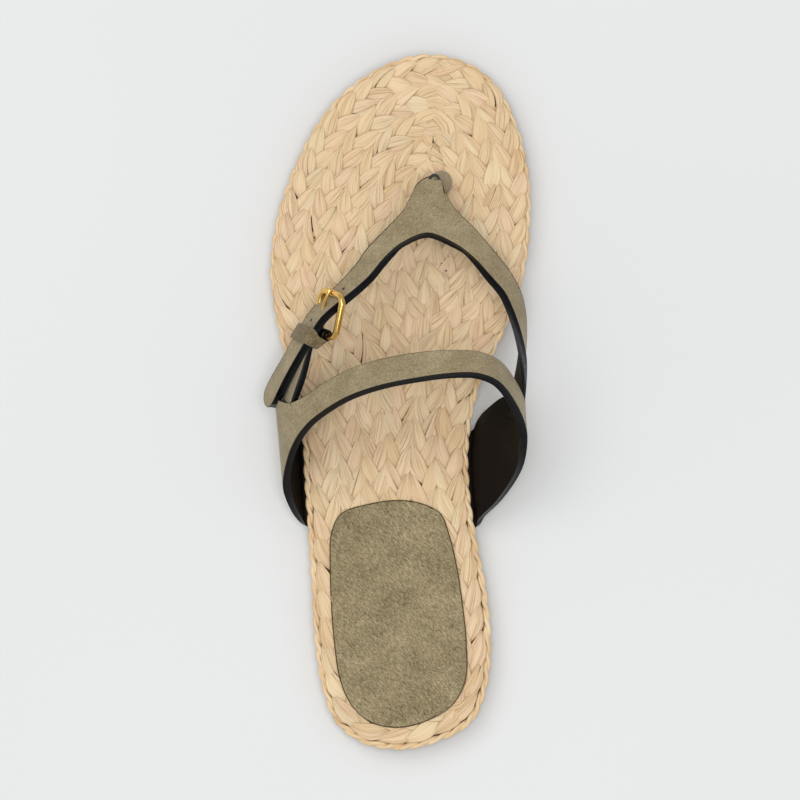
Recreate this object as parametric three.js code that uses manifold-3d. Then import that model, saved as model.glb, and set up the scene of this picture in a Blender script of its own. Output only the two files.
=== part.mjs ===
// Woven flip-flop for the left foot: a flat plaited sole with a thong strap, an instep band
// and a side buckle.
// Millimetres, +Z up, toe towards +Y, inner side of the foot (big toe) towards +X.
// The origin is on the floor, under the middle of the sole's length and on the sole's centre line.
import * as THREE from 'three';
import { mergeVertices } from 'three/addons/utils/BufferGeometryUtils.js';
import Module from 'manifold-3d';

const wasm = await Module();
wasm.setup();

// Driving dimensions
const SOLE_LENGTH = 256;
const BALL_WIDTH = 96;
const INSTEP_HEIGHT = 61;
const TOE_SPRING = 4.5;
const ARCH_LIFT = 1.6;
const GAP = 0.3;

// Layers of the sole, heights above the underside, and how far each is set in from the outline
const OUTSOLE = { bottom: 0, top: 2.8, inset: 1.6 };
const MIDSOLE = { bottom: OUTSOLE.top + GAP, top: 7.1, inset: 0.9 };
const RIM_CORD_DIAMETER = 3;
const FOOTBED = { bottom: MIDSOLE.top + 0.4, top: 10.5, inset: RIM_CORD_DIAMETER + GAP };
const RIM_CORD_HEIGHT = MIDSOLE.top + GAP + RIM_CORD_DIAMETER / 2;
const HEEL_PAD = { bottom: FOOTBED.top + GAP, top: FOOTBED.top + GAP + 1.2, inset: 0 };

// Leather of the straps
const STRAP_THICKNESS = 2.8;
const SKIVED_THICKNESS = 1.8;
const BURIED_THICKNESS = 1.4;
const BURIED_DEPTH = 0.6;

// Places in hundredths: along = of the sole's length from the heel, across = of the ball's width from
// the centre line with the inner side of the foot positive, rise = of the instep height from the floor.
const placeAlong = (along) => (along / 100 - 0.5) * SOLE_LENGTH;
const placeAcross = (across) => (across / 100) * BALL_WIDTH;
const placeRise = (rise) => (rise / 100) * INSTEP_HEIGHT;
const place = (across, along, rise) =>
  new THREE.Vector3(placeAcross(across), placeAlong(along), placeRise(rise));

// Outline of the sole, heel to toe: a row for each cross line
const SOLE_OUTLINE = {
  heel: { along: 0, across: -0.6 },
  toe: { along: 100, across: 10.5 },
  rows: [
    { along: 0.9, lateral: -14, medial: 12.6 },
    { along: 3.9, lateral: -24.8, medial: 27.2 },
    { along: 9, lateral: -30, medial: 33.2 },
    { along: 16, lateral: -33, medial: 34.6 },
    { along: 23, lateral: -34, medial: 33 },
    { along: 30, lateral: -35.2, medial: 29.3 },
    { along: 37, lateral: -36.6, medial: 26.8 },
    { along: 44, lateral: -37.8, medial: 26.4 },
    { along: 52, lateral: -41.4, medial: 30.4 },
    { along: 57.5, lateral: -45.2, medial: 36.8 },
    { along: 62.5, lateral: -48.2, medial: 42.8 },
    { along: 69.2, lateral: -50.2, medial: 48 },
    { along: 76.2, lateral: -47.8, medial: 50 },
    { along: 83, lateral: -42, medial: 49.4 },
    { along: 90, lateral: -32.4, medial: 44.8 },
    { along: 95, lateral: -20.6, medial: 38.2 },
    { along: 98.5, lateral: -5.8, medial: 27.4 },
  ],
};

// Outline of the suede pad under the heel
const PAD_OUTLINE = {
  heel: { along: 3.2, across: -1.5 },
  toe: { along: 35.7, across: -1 },
  rows: [
    { along: 4, lateral: -11.5, medial: 9 },
    { along: 6.4, lateral: -18.6, medial: 19.8 },
    { along: 10, lateral: -23, medial: 25 },
    { along: 15, lateral: -25.2, medial: 25.4 },
    { along: 20.5, lateral: -26.4, medial: 24 },
    { along: 26, lateral: -26.9, medial: 21.8 },
    { along: 31, lateral: -26.4, medial: 18.6 },
    { along: 33.8, lateral: -22.6, medial: 15.4 },
    { along: 35.2, lateral: -11.5, medial: 8.4 },
  ],
};

// Roots of the instep band, from under the footbed out round its edge: outward and height in
// millimetres from the sole's outline and underside, rear and front as places along the sole.
const LATERAL_ROOT = [
  { outward: -8.5, height: 5, rear: 31.8, front: 46.6, thickness: SKIVED_THICKNESS },
  { outward: -3, height: 5, rear: 31.8, front: 47, thickness: SKIVED_THICKNESS },
  { outward: 1.6, height: 5.3, rear: 32.2, front: 47.8, thickness: 2.2 },
  { outward: 4.2, height: 8.1, rear: 33.2, front: 48.6, thickness: STRAP_THICKNESS },
];
const MEDIAL_ROOT = [
  { outward: -8.5, height: 5, rear: 32, front: 45.2, thickness: SKIVED_THICKNESS },
  { outward: -3, height: 5, rear: 32, front: 45.4, thickness: SKIVED_THICKNESS },
  { outward: 1.6, height: 5.3, rear: 32.4, front: 46.4, thickness: 2.2 },
  { outward: 4.2, height: 8.1, rear: 33.6, front: 47.6, thickness: STRAP_THICKNESS },
];

// Instep band over the foot, lateral wing to medial wing: rear edge and front edge of each section
const BAND_SECTIONS = [
  { rear: [-42.6, 34.8, 23], front: [-46.6, 49.6, 25] },
  { rear: [-44.3, 37, 33], front: [-47.4, 50, 35] },
  { rear: [-43.4, 39.4, 44], front: [-45.8, 49.8, 45] },
  { rear: [-39.9, 42.9, 58.5], front: [-41.4, 49.2, 54] },
  { rear: [-34.2, 45.7, 70], front: [-35.2, 50, 62] },
  { rear: [-26.4, 47.8, 78.6], front: [-29.2, 51.4, 68.2] },
  { rear: [-17.6, 49.5, 86.6], front: [-19, 53.4, 76.2] },
  { rear: [-5.6, 50.9, 93], front: [-5.6, 54.9, 82.6] },
  { rear: [7.6, 51.8, 97], front: [7.8, 55.7, 86.2] },
  { rear: [20.4, 52.4, 99.4], front: [20.8, 56, 87.4] },
  { rear: [30.2, 52.4, 99], front: [31.2, 55.8, 84.4] },
  { rear: [37.8, 51.4, 95], front: [38.8, 54.6, 77.4] },
  { rear: [44.4, 48.5, 82.4], front: [44.4, 52, 66] },
  { rear: [48.4, 44.9, 67], front: [47.8, 49.4, 58] },
  { rear: [48.2, 41.6, 53.6], front: [45.6, 50.2, 49] },
  { rear: [46, 39.2, 42.6], front: [41.2, 50.2, 40.4] },
  { rear: [39, 35.6, 25.6], front: [35, 48.6, 26.4] },
];

// Thong strap, from the pointed free end round the V to the medial wing: centre of the outer face,
// lean of the face from level in degrees, and width in millimetres
const STRAP_WIDTH = 11;
const STRAP_STATIONS = [
  { at: [-50.6, 48.9, 36.9], lean: 62, width: 2.6 },
  { at: [-50.1, 49.7, 38.2], lean: 62, width: 8.4 },
  { at: [-48.8, 50.9, 40.3], lean: 62, width: STRAP_WIDTH },
  { at: [-43.6, 54.3, 47.5], lean: 63, width: STRAP_WIDTH },
  { at: [-35.3, 59.4, 54.6], lean: 61, width: STRAP_WIDTH },
  { at: [-30.4, 62, 57.4], lean: 59, width: STRAP_WIDTH },
  { at: [-20.8, 65.1, 60], lean: 55, width: STRAP_WIDTH },
  { at: [-13.6, 67.7, 60], lean: 48, width: STRAP_WIDTH },
  { at: [-8.3, 70.3, 59.3], lean: 44, width: STRAP_WIDTH },
  { at: [-1.1, 72.9, 58], lean: 38, width: STRAP_WIDTH },
  { at: [11.4, 74.9, 56.7], lean: 26, width: STRAP_WIDTH },
  { at: [24.4, 72.9, 56.4], lean: 32, width: STRAP_WIDTH },
  { at: [31.8, 70.5, 57.4], lean: 41, width: STRAP_WIDTH },
  { at: [37.8, 67.7, 57.4], lean: 48, width: STRAP_WIDTH },
  { at: [42.7, 65.2, 56.7], lean: 57, width: STRAP_WIDTH },
  { at: [45.4, 62.7, 55.7], lean: 64, width: STRAP_WIDTH },
  { at: [47.3, 59.4, 55.1], lean: 77, width: STRAP_WIDTH },
  { at: [48.1, 55.1, 54.4], lean: 94, width: STRAP_WIDTH },
  { at: [46.8, 51.2, 52.5], lean: 110, width: 11.5, buried: 1 },
  { at: [44.8, 46.9, 50.8], lean: 117, width: 11.5, buried: 1 },
];
const KEEPER_STATION = 3.9;
const TOE_BAR_STATION = 5.7;

// Tip of the V, from the strap towards the toe, where it narrows and turns down into the toe stem
const TIP_STATIONS = [
  { at: [11.3, 74.4, 58.2], width: 13, buried: 1 },
  { at: [11.2, 76.8, 51.6], width: 17.8, buried: 0 },
  { at: [11.4, 79.3, 45.2], width: 11.6, buried: 0 },
  { at: [12, 81, 41], width: 8.6, buried: 0 },
  { at: [12.7, 81.7, 39], width: 4.6, buried: 0 },
];

// Toe stem: a flat rolled post, level sections from the tip down into the sole
const STEM_WIDTH = 7;
const STEM_LENGTH = 8.6;
const STEM_STATIONS = [
  { at: [13.4, 80.4, 39.4], size: 0.7 },
  { at: [14.6, 80.9, 35], size: 0.96 },
  { at: [15.8, 81.3, 27], size: 1 },
  { at: [16.3, 81.4, 18], size: 1 },
  { at: [16.4, 81.4, 8], size: 1 },
];

// Tab that holds the buckle: from inside the lateral wing forward, under the strap's free end
const TAB_WIDTH = 10.6;
const TAB_LAP = 0.7;
const TAB_SKIVE = 0.85;
const TAB_DEPTH = 1.45;
const TAB_STATIONS = [
  { at: [-44.2, 44.6, 45], lean: 76, width: 12, buried: 1 },
  { at: [-43, 49, 47.6], lean: 68, width: 11.6, buried: 0.4 },
  { at: [-39.6, 53.2, 50.6], lean: 63, width: 11.2, buried: 0.1 },
];

// Buckle
const FRAME_LENGTH = 17.8;
const FRAME_WIDTH = 16.4;
const FRAME_BAR = 2.3;
const FRAME_ACROSS = { turn: -30, lean: 49 };
const FRAME_ALONG = { turn: -102, lean: -11 };
const PRONG_DIAMETER = 1.3;
const CHAPE_THICKNESS = 0.8;
const CHAPE_WIDTH = 8;
const CHAPE_SHIFT = 2.2;
const KEEPER_LENGTH = 6.4;
const KEEPER_WALL = 1;
const KEEPER_FLARE = 2;

const COLOURS = {
  suede: { color: 0x958a6e, roughness: 0.95, metalness: 0 },
  raffia: { color: 0xe0c49a, roughness: 0.7, metalness: 0 },
  sole: { color: 0x6f4d35, roughness: 0.8, metalness: 0 },
  core: { color: 0xcbb088, roughness: 0.9, metalness: 0 },
  brass: { color: 0xd9b45a, roughness: 0.25, metalness: 1 },
};

// Smooth curve from the first point to the last
const openCurve = (points) => new THREE.CatmullRomCurve3(points, false, 'centripetal');

// A smooth run of named numbers through a table, read at any station
function smoothColumns(rows, names) {
  const last = rows.length - 1;
  const curves = names.map((name) => new THREE.CatmullRomCurve3(
    rows.map((row, index) => new THREE.Vector3(index, row[name], 0)), false, 'catmullrom', 0.5));
  return (station) => {
    const t = THREE.MathUtils.clamp(station / last, 0, 1);
    return Object.fromEntries(names.map((name, column) => [name, curves[column].getPoint(t).y]));
  };
}

// Closed body from two facing grids of points, outer and inner, row by row
function shell(rows) {
  const across = rows[0].outer.length;
  const positions = [];
  for (const row of rows) {
    for (const point of [...row.outer, ...row.inner]) positions.push(point.x, point.y, point.z);
  }
  const outer = (row, column) => row * 2 * across + column;
  const inner = (row, column) => outer(row, column) + across;
  const index = [];
  const quad = (a, b, c, d) => index.push(a, b, c, a, c, d);
  const last = rows.length - 1;
  for (let row = 0; row < last; row += 1) {
    for (let column = 0; column < across - 1; column += 1) {
      quad(outer(row, column), outer(row + 1, column), outer(row + 1, column + 1), outer(row, column + 1));
      quad(inner(row, column), inner(row, column + 1), inner(row + 1, column + 1), inner(row + 1, column));
    }
    quad(outer(row, 0), inner(row, 0), inner(row + 1, 0), outer(row + 1, 0));
    const edge = across - 1;
    quad(outer(row, edge), outer(row + 1, edge), inner(row + 1, edge), inner(row, edge));
  }
  for (let column = 0; column < across - 1; column += 1) {
    quad(outer(0, column), outer(0, column + 1), inner(0, column + 1), inner(0, column));
    quad(outer(last, column), inner(last, column), inner(last, column + 1), outer(last, column + 1));
  }
  return outwardGeometry(positions, index);
}

// Closed body from a stack of loops: capped at both ends, or joined end to end as a ring
function loft(loops, ring = false) {
  const sides = loops[0].length;
  const positions = loops.flat().flatMap((point) => [point.x, point.y, point.z]);
  const at = (loop, side) => (loop % loops.length) * sides + (side % sides);
  const index = [];
  const spans = ring ? loops.length : loops.length - 1;
  for (let loop = 0; loop < spans; loop += 1) {
    for (let side = 0; side < sides; side += 1) {
      index.push(at(loop, side), at(loop, side + 1), at(loop + 1, side + 1));
      index.push(at(loop, side), at(loop + 1, side + 1), at(loop + 1, side));
    }
  }
  if (!ring) {
    for (let side = 1; side < sides - 1; side += 1) {
      index.push(at(0, 0), at(0, side + 1), at(0, side));
      index.push(at(spans, 0), at(spans, side), at(spans, side + 1));
    }
  }
  return outwardGeometry(positions, index);
}

// Geometry with its faces turned outwards, whichever way the grid ran
function outwardGeometry(positions, index) {
  const corner = (n) => new THREE.Vector3().fromArray(positions, index[n] * 3);
  let volume = 0;
  for (let n = 0; n < index.length; n += 3) {
    volume += corner(n).dot(corner(n + 1).cross(corner(n + 2)));
  }
  const turned = volume < 0 ? index.slice().reverse() : index;
  const geometry = new THREE.BufferGeometry();
  geometry.setAttribute('position', new THREE.Float32BufferAttribute(positions, 3));
  geometry.setIndex(turned);
  return geometry;
}

function toSolid(geometry) {
  const bare = geometry.clone();
  bare.deleteAttribute('normal');
  bare.deleteAttribute('uv');
  const merged = mergeVertices(bare, 1e-4);
  return new wasm.Manifold(new wasm.Mesh({
    numProp: 3,
    vertProperties: new Float32Array(merged.attributes.position.array),
    triVerts: new Uint32Array(merged.index.array),
  }));
}

function toGeometry(solid) {
  const mesh = solid.getMesh();
  const geometry = new THREE.BufferGeometry();
  geometry.setAttribute('position', new THREE.BufferAttribute(new Float32Array(mesh.vertProperties), 3));
  geometry.setIndex(new THREE.BufferAttribute(new Uint32Array(mesh.triVerts), 1));
  geometry.computeVertexNormals();
  return geometry;
}

// The solid without the crumbs that a cut leaves
function largestBody(solid) {
  return solid.decompose().reduce((best, body) => (body.volume() > best.volume() ? body : best));
}

function namedMesh(name, solid, finish) {
  const mesh = new THREE.Mesh(toGeometry(solid), new THREE.MeshStandardMaterial(finish));
  mesh.name = name;
  return mesh;
}

// Height of the sole's underside above the floor: flat under heel and forefoot, low arch, toe spring
function soleLift(y) {
  const along = (y / SOLE_LENGTH + 0.5) * 100;
  const archCentre = 38;
  const archHalf = 10;
  const springStart = 78;
  const heelFlat = 6;
  const arch = Math.abs(along - archCentre) < archHalf
    ? ARCH_LIFT * (0.5 + 0.5 * Math.cos((Math.PI * (along - archCentre)) / archHalf)) : 0;
  const spring = TOE_SPRING * (Math.max(0, along - springStart) / (100 - springStart)) ** 2;
  const heelRise = (Math.max(0, heelFlat - along) / heelFlat) ** 2;
  return arch + spring + heelRise;
}

// The outline as one closed smooth curve, and its two sides read from heel to toe, set in by a distance
function outlineOf({ heel, toe, rows }) {
  const flat = (across, along) => new THREE.Vector3(placeAcross(across), placeAlong(along), 0);
  const lateral = rows.map((row) => flat(row.lateral, row.along));
  const medial = rows.map((row) => flat(row.medial, row.along)).reverse();
  const points = [flat(heel.across, heel.along), ...lateral, flat(toe.across, toe.along), ...medial];
  const curve = new THREE.CatmullRomCurve3(points, true, 'centripetal');
  const onCurve = (t, inset) => {
    const point = curve.getPoint(t);
    const tangent = curve.getTangent(t);
    return new THREE.Vector3(point.x + tangent.y * inset, point.y - tangent.x * inset, 0);
  };
  const side = (share, inset, medialSide) => onCurve(medialSide ? 1 - share / 2 : share / 2, inset);
  return { onCurve, side, count: rows.length + 1 };
}

const soleOutline = outlineOf(SOLE_OUTLINE);
const padOutline = outlineOf(PAD_OUTLINE);

// X of the sole's edge at a given Y, found by halving the stretch of outline between heel and toe
function edgeAt(y, medialSide) {
  let low = 0;
  let high = 1;
  for (let step = 0; step < 30; step += 1) {
    const middle = (low + high) / 2;
    if (soleOutline.side(middle, 0, medialSide).y < y) low = middle;
    else high = middle;
  }
  return soleOutline.side(low, 0, medialSide).x;
}

// One layer of the sole: cross lines from the lateral to the medial edge, top and bottom
function soleLayer(outline, { bottom, top, inset }, columns = 6, steps = 3) {
  const rows = [];
  const last = outline.count * steps;
  for (let step = 1; step < last; step += 1) {
    const left = outline.side(step / last, inset, false);
    const right = outline.side(step / last, inset, true);
    const line = [];
    for (let column = 0; column <= columns; column += 1) {
      line.push(left.clone().lerp(right, column / columns));
    }
    const raised = (height) => line.map((p) => new THREE.Vector3(p.x, p.y, height + soleLift(p.y)));
    rows.push({ outer: raised(top), inner: raised(bottom) });
  }
  return toSolid(shell(rows));
}

// Cord round the edge of the footbed
function rimCord() {
  const turns = 104;
  const sides = 8;
  const radius = RIM_CORD_DIAMETER / 2;
  const loops = [];
  for (let turn = 0; turn < turns; turn += 1) {
    const centre = soleOutline.onCurve(turn / turns, radius);
    const outer = soleOutline.onCurve(turn / turns, 0).sub(centre).normalize();
    const loop = [];
    for (let side = 0; side < sides; side += 1) {
      const angle = (2 * Math.PI * side) / sides;
      const point = centre.clone().addScaledVector(outer, radius * Math.cos(angle));
      point.z = RIM_CORD_HEIGHT + soleLift(centre.y) + radius * Math.sin(angle);
      loop.push(point);
    }
    loops.push(loop);
  }
  return toSolid(loft(loops, true));
}

// A root section of the band: a line that follows the edge of the sole
const BAND_COLUMNS = 6;
function rootRow({ outward, height, rear, front, thickness }, medialSide, spread = 0) {
  const points = [];
  for (let column = 0; column <= BAND_COLUMNS; column += 1) {
    const share = column / BAND_COLUMNS;
    const y = THREE.MathUtils.lerp(placeAlong(rear) - spread, placeAlong(front) + spread, share);
    const x = edgeAt(y, medialSide) + (medialSide ? outward : -outward);
    points.push(new THREE.Vector3(x, y, height + soleLift(y)));
  }
  return { points, thickness };
}

// A section of the band between its rear and front edges
function bandRow({ rear, front }) {
  const start = place(...rear);
  const end = place(...front);
  const points = [];
  for (let column = 0; column <= BAND_COLUMNS; column += 1) {
    points.push(start.clone().lerp(end, column / BAND_COLUMNS));
  }
  return { points, thickness: STRAP_THICKNESS };
}

// Instep band with both wings: sections smoothed along the band, then given the leather's thickness
function instepBand() {
  const sections = [
    ...LATERAL_ROOT.map((row) => rootRow(row, false)),
    ...BAND_SECTIONS.map(bandRow),
    ...MEDIAL_ROOT.map((row) => rootRow(row, true)).reverse(),
  ];
  const steps = 2;
  const count = (sections.length - 1) * steps;
  const lines = [];
  for (let column = 0; column <= BAND_COLUMNS; column += 1) {
    const curve = openCurve(sections.map((row) => row.points[column]));
    lines.push(Array.from({ length: count + 1 }, (_, step) => curve.getPoint(step / count)));
  }
  const thicknessAt = smoothColumns(sections, ['thickness']);
  const rows = [];
  for (let step = 0; step <= count; step += 1) {
    const { thickness } = thicknessAt(step / steps);
    const outer = lines.map((line) => line[step]);
    const inner = outer.map((point, column) => {
      const line = lines[column];
      const along = line[Math.min(step + 1, count)].clone().sub(line[Math.max(step - 1, 0)]);
      const across = outer[Math.min(column + 1, BAND_COLUMNS)].clone().sub(outer[Math.max(column - 1, 0)]);
      const out = along.cross(across).normalize();
      return point.clone().addScaledVector(out, -thickness);
    });
    rows.push({ outer, inner });
  }
  return toSolid(shell(rows));
}

// A leaning strap read at any station: its centre on the outer face, and the directions along it,
// across it towards its upper edge, and out of its face
function strapPath(stations) {
  const last = stations.length - 1;
  const centres = stations.map(({ at }) => (Array.isArray(at) ? place(...at) : at));
  const curve = openCurve(centres);
  const filled = stations.map((row) => ({ buried: 0, ...row }));
  const columns = smoothColumns(filled, ['lean', 'width', 'buried']);
  return (station) => {
    const t = THREE.MathUtils.clamp(station / last, 0, 1);
    const centre = curve.getPoint(t);
    const along = curve.getTangent(t).normalize();
    const { lean, width, buried } = columns(station);
    const angle = THREE.MathUtils.degToRad(lean);
    const level = new THREE.Vector3(along.y, -along.x, 0).normalize();
    const across = level.multiplyScalar(Math.cos(angle));
    across.z = Math.sin(angle);
    across.addScaledVector(along, -across.dot(along)).normalize();
    const out = across.clone().cross(along).normalize();
    return { centre, along, across, out, width, buried };
  };
}

// Point of a strap's own frame: upward across the strap and outward from its face
function strapPoint(frame, up, outward) {
  return frame.centre.clone().addScaledVector(frame.across, up).addScaledVector(frame.out, outward);
}

function strapSolid(stations, steps = 3, columns = 2) {
  const frameAt = strapPath(stations);
  const count = (stations.length - 1) * steps;
  const rows = [];
  for (let step = 0; step <= count; step += 1) {
    const frame = frameAt(step / steps);
    const top = -BURIED_DEPTH * frame.buried;
    const thickness = THREE.MathUtils.lerp(STRAP_THICKNESS, BURIED_THICKNESS, frame.buried);
    const line = (outward) => Array.from({ length: columns + 1 }, (_, column) =>
      strapPoint(frame, frame.width * (column / columns - 0.5), outward));
    rows.push({ outer: line(top), inner: line(top - thickness) });
  }
  return toSolid(shell(rows));
}

const strapAt = strapPath(STRAP_STATIONS);

// Tip of the V: level sections that narrow towards the toe
function strapTip() {
  const steps = 3;
  const last = TIP_STATIONS.length - 1;
  const curve = openCurve(TIP_STATIONS.map(({ at }) => place(...at)));
  const columns = smoothColumns(TIP_STATIONS, ['width', 'buried']);
  const rows = [];
  for (let step = 0; step <= last * steps; step += 1) {
    const centre = curve.getPoint(step / (last * steps));
    const along = curve.getTangent(step / (last * steps)).normalize();
    const across = new THREE.Vector3(along.y, -along.x, 0).normalize();
    const out = across.clone().cross(along).normalize();
    const { width, buried } = columns(step / steps);
    const thickness = THREE.MathUtils.lerp(STRAP_THICKNESS, BURIED_THICKNESS, buried);
    const line = (outward) => [-0.5, 0, 0.5].map((share) => centre.clone()
      .addScaledVector(across, width * share).addScaledVector(out, outward));
    rows.push({ outer: line(-BURIED_DEPTH * buried), inner: line(-BURIED_DEPTH * buried - thickness) });
  }
  return toSolid(shell(rows));
}

// Toe stem, or the larger body that clears a hole for it
function toeStem(spread = 0) {
  const sides = 12;
  const steps = 3;
  const last = STEM_STATIONS.length - 1;
  const curve = openCurve(STEM_STATIONS.map(({ at }) => place(...at)));
  const sizeAt = smoothColumns(STEM_STATIONS, ['size']);
  const loops = [];
  for (let step = 0; step <= last * steps; step += 1) {
    const centre = curve.getPoint(step / (last * steps));
    const { size } = sizeAt(step / steps);
    if (step === last * steps) centre.z -= spread;
    loops.push(Array.from({ length: sides }, (_, side) => {
      const angle = (2 * Math.PI * side) / sides;
      return new THREE.Vector3(
        centre.x + ((STEM_WIDTH / 2) * size + spread) * Math.cos(angle),
        centre.y + ((STEM_LENGTH / 2) * size + spread) * Math.sin(angle),
        centre.z,
      );
    }));
  }
  return toSolid(loft(loops));
}

// Round rod along a polyline of points
function rod(points, diameter, sides = 8) {
  const loops = points.map((point, n) => {
    const before = points[Math.max(n - 1, 0)];
    const after = points[Math.min(n + 1, points.length - 1)];
    const along = after.clone().sub(before).normalize();
    const side = new THREE.Vector3(0, 0, 1).cross(along).normalize();
    const up = along.clone().cross(side);
    return Array.from({ length: sides }, (_, k) => {
      const angle = (2 * Math.PI * k) / sides;
      return point.clone().addScaledVector(side, (diameter / 2) * Math.cos(angle))
        .addScaledVector(up, (diameter / 2) * Math.sin(angle));
    });
  });
  return toSolid(loft(loops));
}

// The buckle's own directions: across runs along its bars, along runs from the toe bar to the heel bar
function direction({ turn, lean }) {
  const level = new THREE.Vector3(1, 0, 0);
  level.applyAxisAngle(new THREE.Vector3(0, 0, 1), THREE.MathUtils.degToRad(turn));
  const side = new THREE.Vector3(0, 0, 1).cross(level);
  return level.applyAxisAngle(side, -THREE.MathUtils.degToRad(lean));
}
const foldRadius = FRAME_BAR / 2 + GAP + CHAPE_THICKNESS;
const frameAlong = direction(FRAME_ALONG);
const frameAcross = direction(FRAME_ACROSS);
frameAcross.addScaledVector(frameAlong, -frameAcross.dot(frameAlong)).normalize();
const frameOut = frameAlong.clone().cross(frameAcross).normalize();
const toeBar = strapPoint(strapAt(TOE_BAR_STATION), 0, FRAME_BAR / 2 + GAP);
const heelBar = toeBar.clone().addScaledVector(frameAlong, FRAME_LENGTH - FRAME_BAR);

// Frame of the buckle: a round bar bent into a square ring with round corners
function buckleFrame(spread = 0) {
  const cornerRadius = 3;
  const reachAlong = (FRAME_LENGTH - FRAME_BAR) / 2 - cornerRadius;
  const reachAcross = (FRAME_WIDTH - FRAME_BAR) / 2 - cornerRadius;
  const cornerSteps = 4;
  const sides = 8;
  const centre = toeBar.clone().lerp(heelBar, 0.5);
  const loops = [];
  for (let corner = 0; corner < 4; corner += 1) {
    for (let step = 0; step <= cornerSteps; step += 1) {
      const angle = (Math.PI / 2) * (corner + step / cornerSteps);
      const turn = (Math.PI / 2) * (corner + 0.5);
      const u = Math.sign(Math.cos(turn)) * reachAlong + cornerRadius * Math.cos(angle);
      const v = Math.sign(Math.sin(turn)) * reachAcross + cornerRadius * Math.sin(angle);
      const point = centre.clone().addScaledVector(frameAlong, u).addScaledVector(frameAcross, v);
      const outward = frameAlong.clone().multiplyScalar(Math.cos(angle))
        .addScaledVector(frameAcross, Math.sin(angle));
      loops.push(Array.from({ length: sides }, (_, k) => {
        const around = (2 * Math.PI * k) / sides;
        return point.clone().addScaledVector(outward, (FRAME_BAR / 2 + spread) * Math.cos(around))
          .addScaledVector(frameOut, (FRAME_BAR / 2 + spread) * Math.sin(around));
      }));
    }
  }
  return toSolid(loft(loops, true));
}

// Prong: straight from beside the heel bar, through the strap's hole, and onto the toe bar
function buckleProng(spread = 0) {
  const foot = heelBar.clone().addScaledVector(frameAlong, -(foldRadius + GAP));
  const overBar = toeBar.clone().addScaledVector(frameOut, FRAME_BAR / 2 + GAP + PRONG_DIAMETER / 2);
  const points = [
    foot,
    foot.clone().lerp(overBar, 0.3).addScaledVector(frameOut, 0.5),
    foot.clone().lerp(overBar, 0.7).addScaledVector(frameOut, 0.5),
    overBar,
    overBar.clone().addScaledVector(frameAlong, -1.2).addScaledVector(frameOut, -0.3),
  ];
  return rod(points, PRONG_DIAMETER + 2 * spread);
}

// Frame of the strap at the keeper, moved straight along the strap
function keeperFrame(offset) {
  const frame = strapAt(KEEPER_STATION);
  frame.centre.addScaledVector(frame.along, offset);
  return frame;
}

// Fold of the tab round the heel bar, or the larger body that clears a place for it
function chapeFold(spread = 0) {
  const half = CHAPE_WIDTH / 2 + spread;
  return rod([
    heelBar.clone().addScaledVector(frameAcross, -half),
    heelBar.clone().addScaledVector(frameAcross, half),
  ], 2 * (foldRadius + spread), 12);
}

// Tab: its last stations lie under the strap, and it ends in a fold round the heel bar
function buckleTab() {
  const under = (offset) => strapPoint(keeperFrame(offset), 0, TAB_LAP - STRAP_THICKNESS);
  const keeperEnd = KEEPER_LENGTH / 2;
  const overFold = heelBar.clone().addScaledVector(frameOut, foldRadius)
    .addScaledVector(frameAcross, -CHAPE_SHIFT);
  return strapSolid([
    ...TAB_STATIONS,
    { at: under(-keeperEnd), lean: 62, width: TAB_WIDTH, buried: TAB_SKIVE },
    { at: under(0), lean: 61, width: TAB_WIDTH, buried: TAB_SKIVE },
    { at: overFold, lean: 55, width: CHAPE_WIDTH, buried: TAB_SKIVE },
  ]).add(chapeFold());
}

// Keeper: a loop of suede round the tab and the strap's free end, notched for the fold and the frame
function keeper() {
  const tube = (wall, reach) => toSolid(loft([-reach, reach].map((offset) => {
    const frame = keeperFrame(offset);
    const halfWidth = STRAP_WIDTH / 2 + 2 * GAP + wall;
    const top = GAP + wall;
    const flare = KEEPER_FLARE * (offset / KEEPER_LENGTH + 0.5);
    const bottom = -(STRAP_THICKNESS + TAB_DEPTH + flare + GAP) - wall;
    return [[-halfWidth, bottom], [halfWidth, bottom], [halfWidth, top], [-halfWidth, top]]
      .map(([up, out]) => strapPoint(frame, up, out));
  })));
  return largestBody(tube(KEEPER_WALL, KEEPER_LENGTH / 2).subtract(tube(0, KEEPER_LENGTH))
    .subtract(chapeFold(GAP)).subtract(buckleFrame(GAP)));
}

// Pocket that the skived root fills between midsole and footbed, open past the sole's edge
function rootPocket(roots, medialSide) {
  const [inner, buried, edge] = roots;
  const overrun = 3;
  const open = (row, outward, height) => rootRow({ ...row, outward, height }, medialSide, 3 * GAP).points;
  const floor = inner.height - GAP;
  const lid = MIDSOLE.top + GAP;
  const stations = [[inner, inner.outward - GAP], [buried, buried.outward], [edge, overrun]];
  return toSolid(shell(stations.map(([row, outward]) => ({
    outer: open(row, outward, lid), inner: open(row, outward, floor),
  }))));
}

const band = instepBand();
const straps = strapSolid(STRAP_STATIONS);
const upper = largestBody(
  band.add(straps).add(strapTip()).add(toeStem()).add(buckleTab())
    .subtract(buckleFrame(GAP)).subtract(buckleProng(GAP)),
);

const midsole = soleLayer(soleOutline, MIDSOLE)
  .subtract(rootPocket(LATERAL_ROOT, false))
  .subtract(rootPocket(MEDIAL_ROOT, true))
  .subtract(toeStem(GAP));
const footbed = soleLayer(soleOutline, FOOTBED).subtract(toeStem(GAP));

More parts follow.
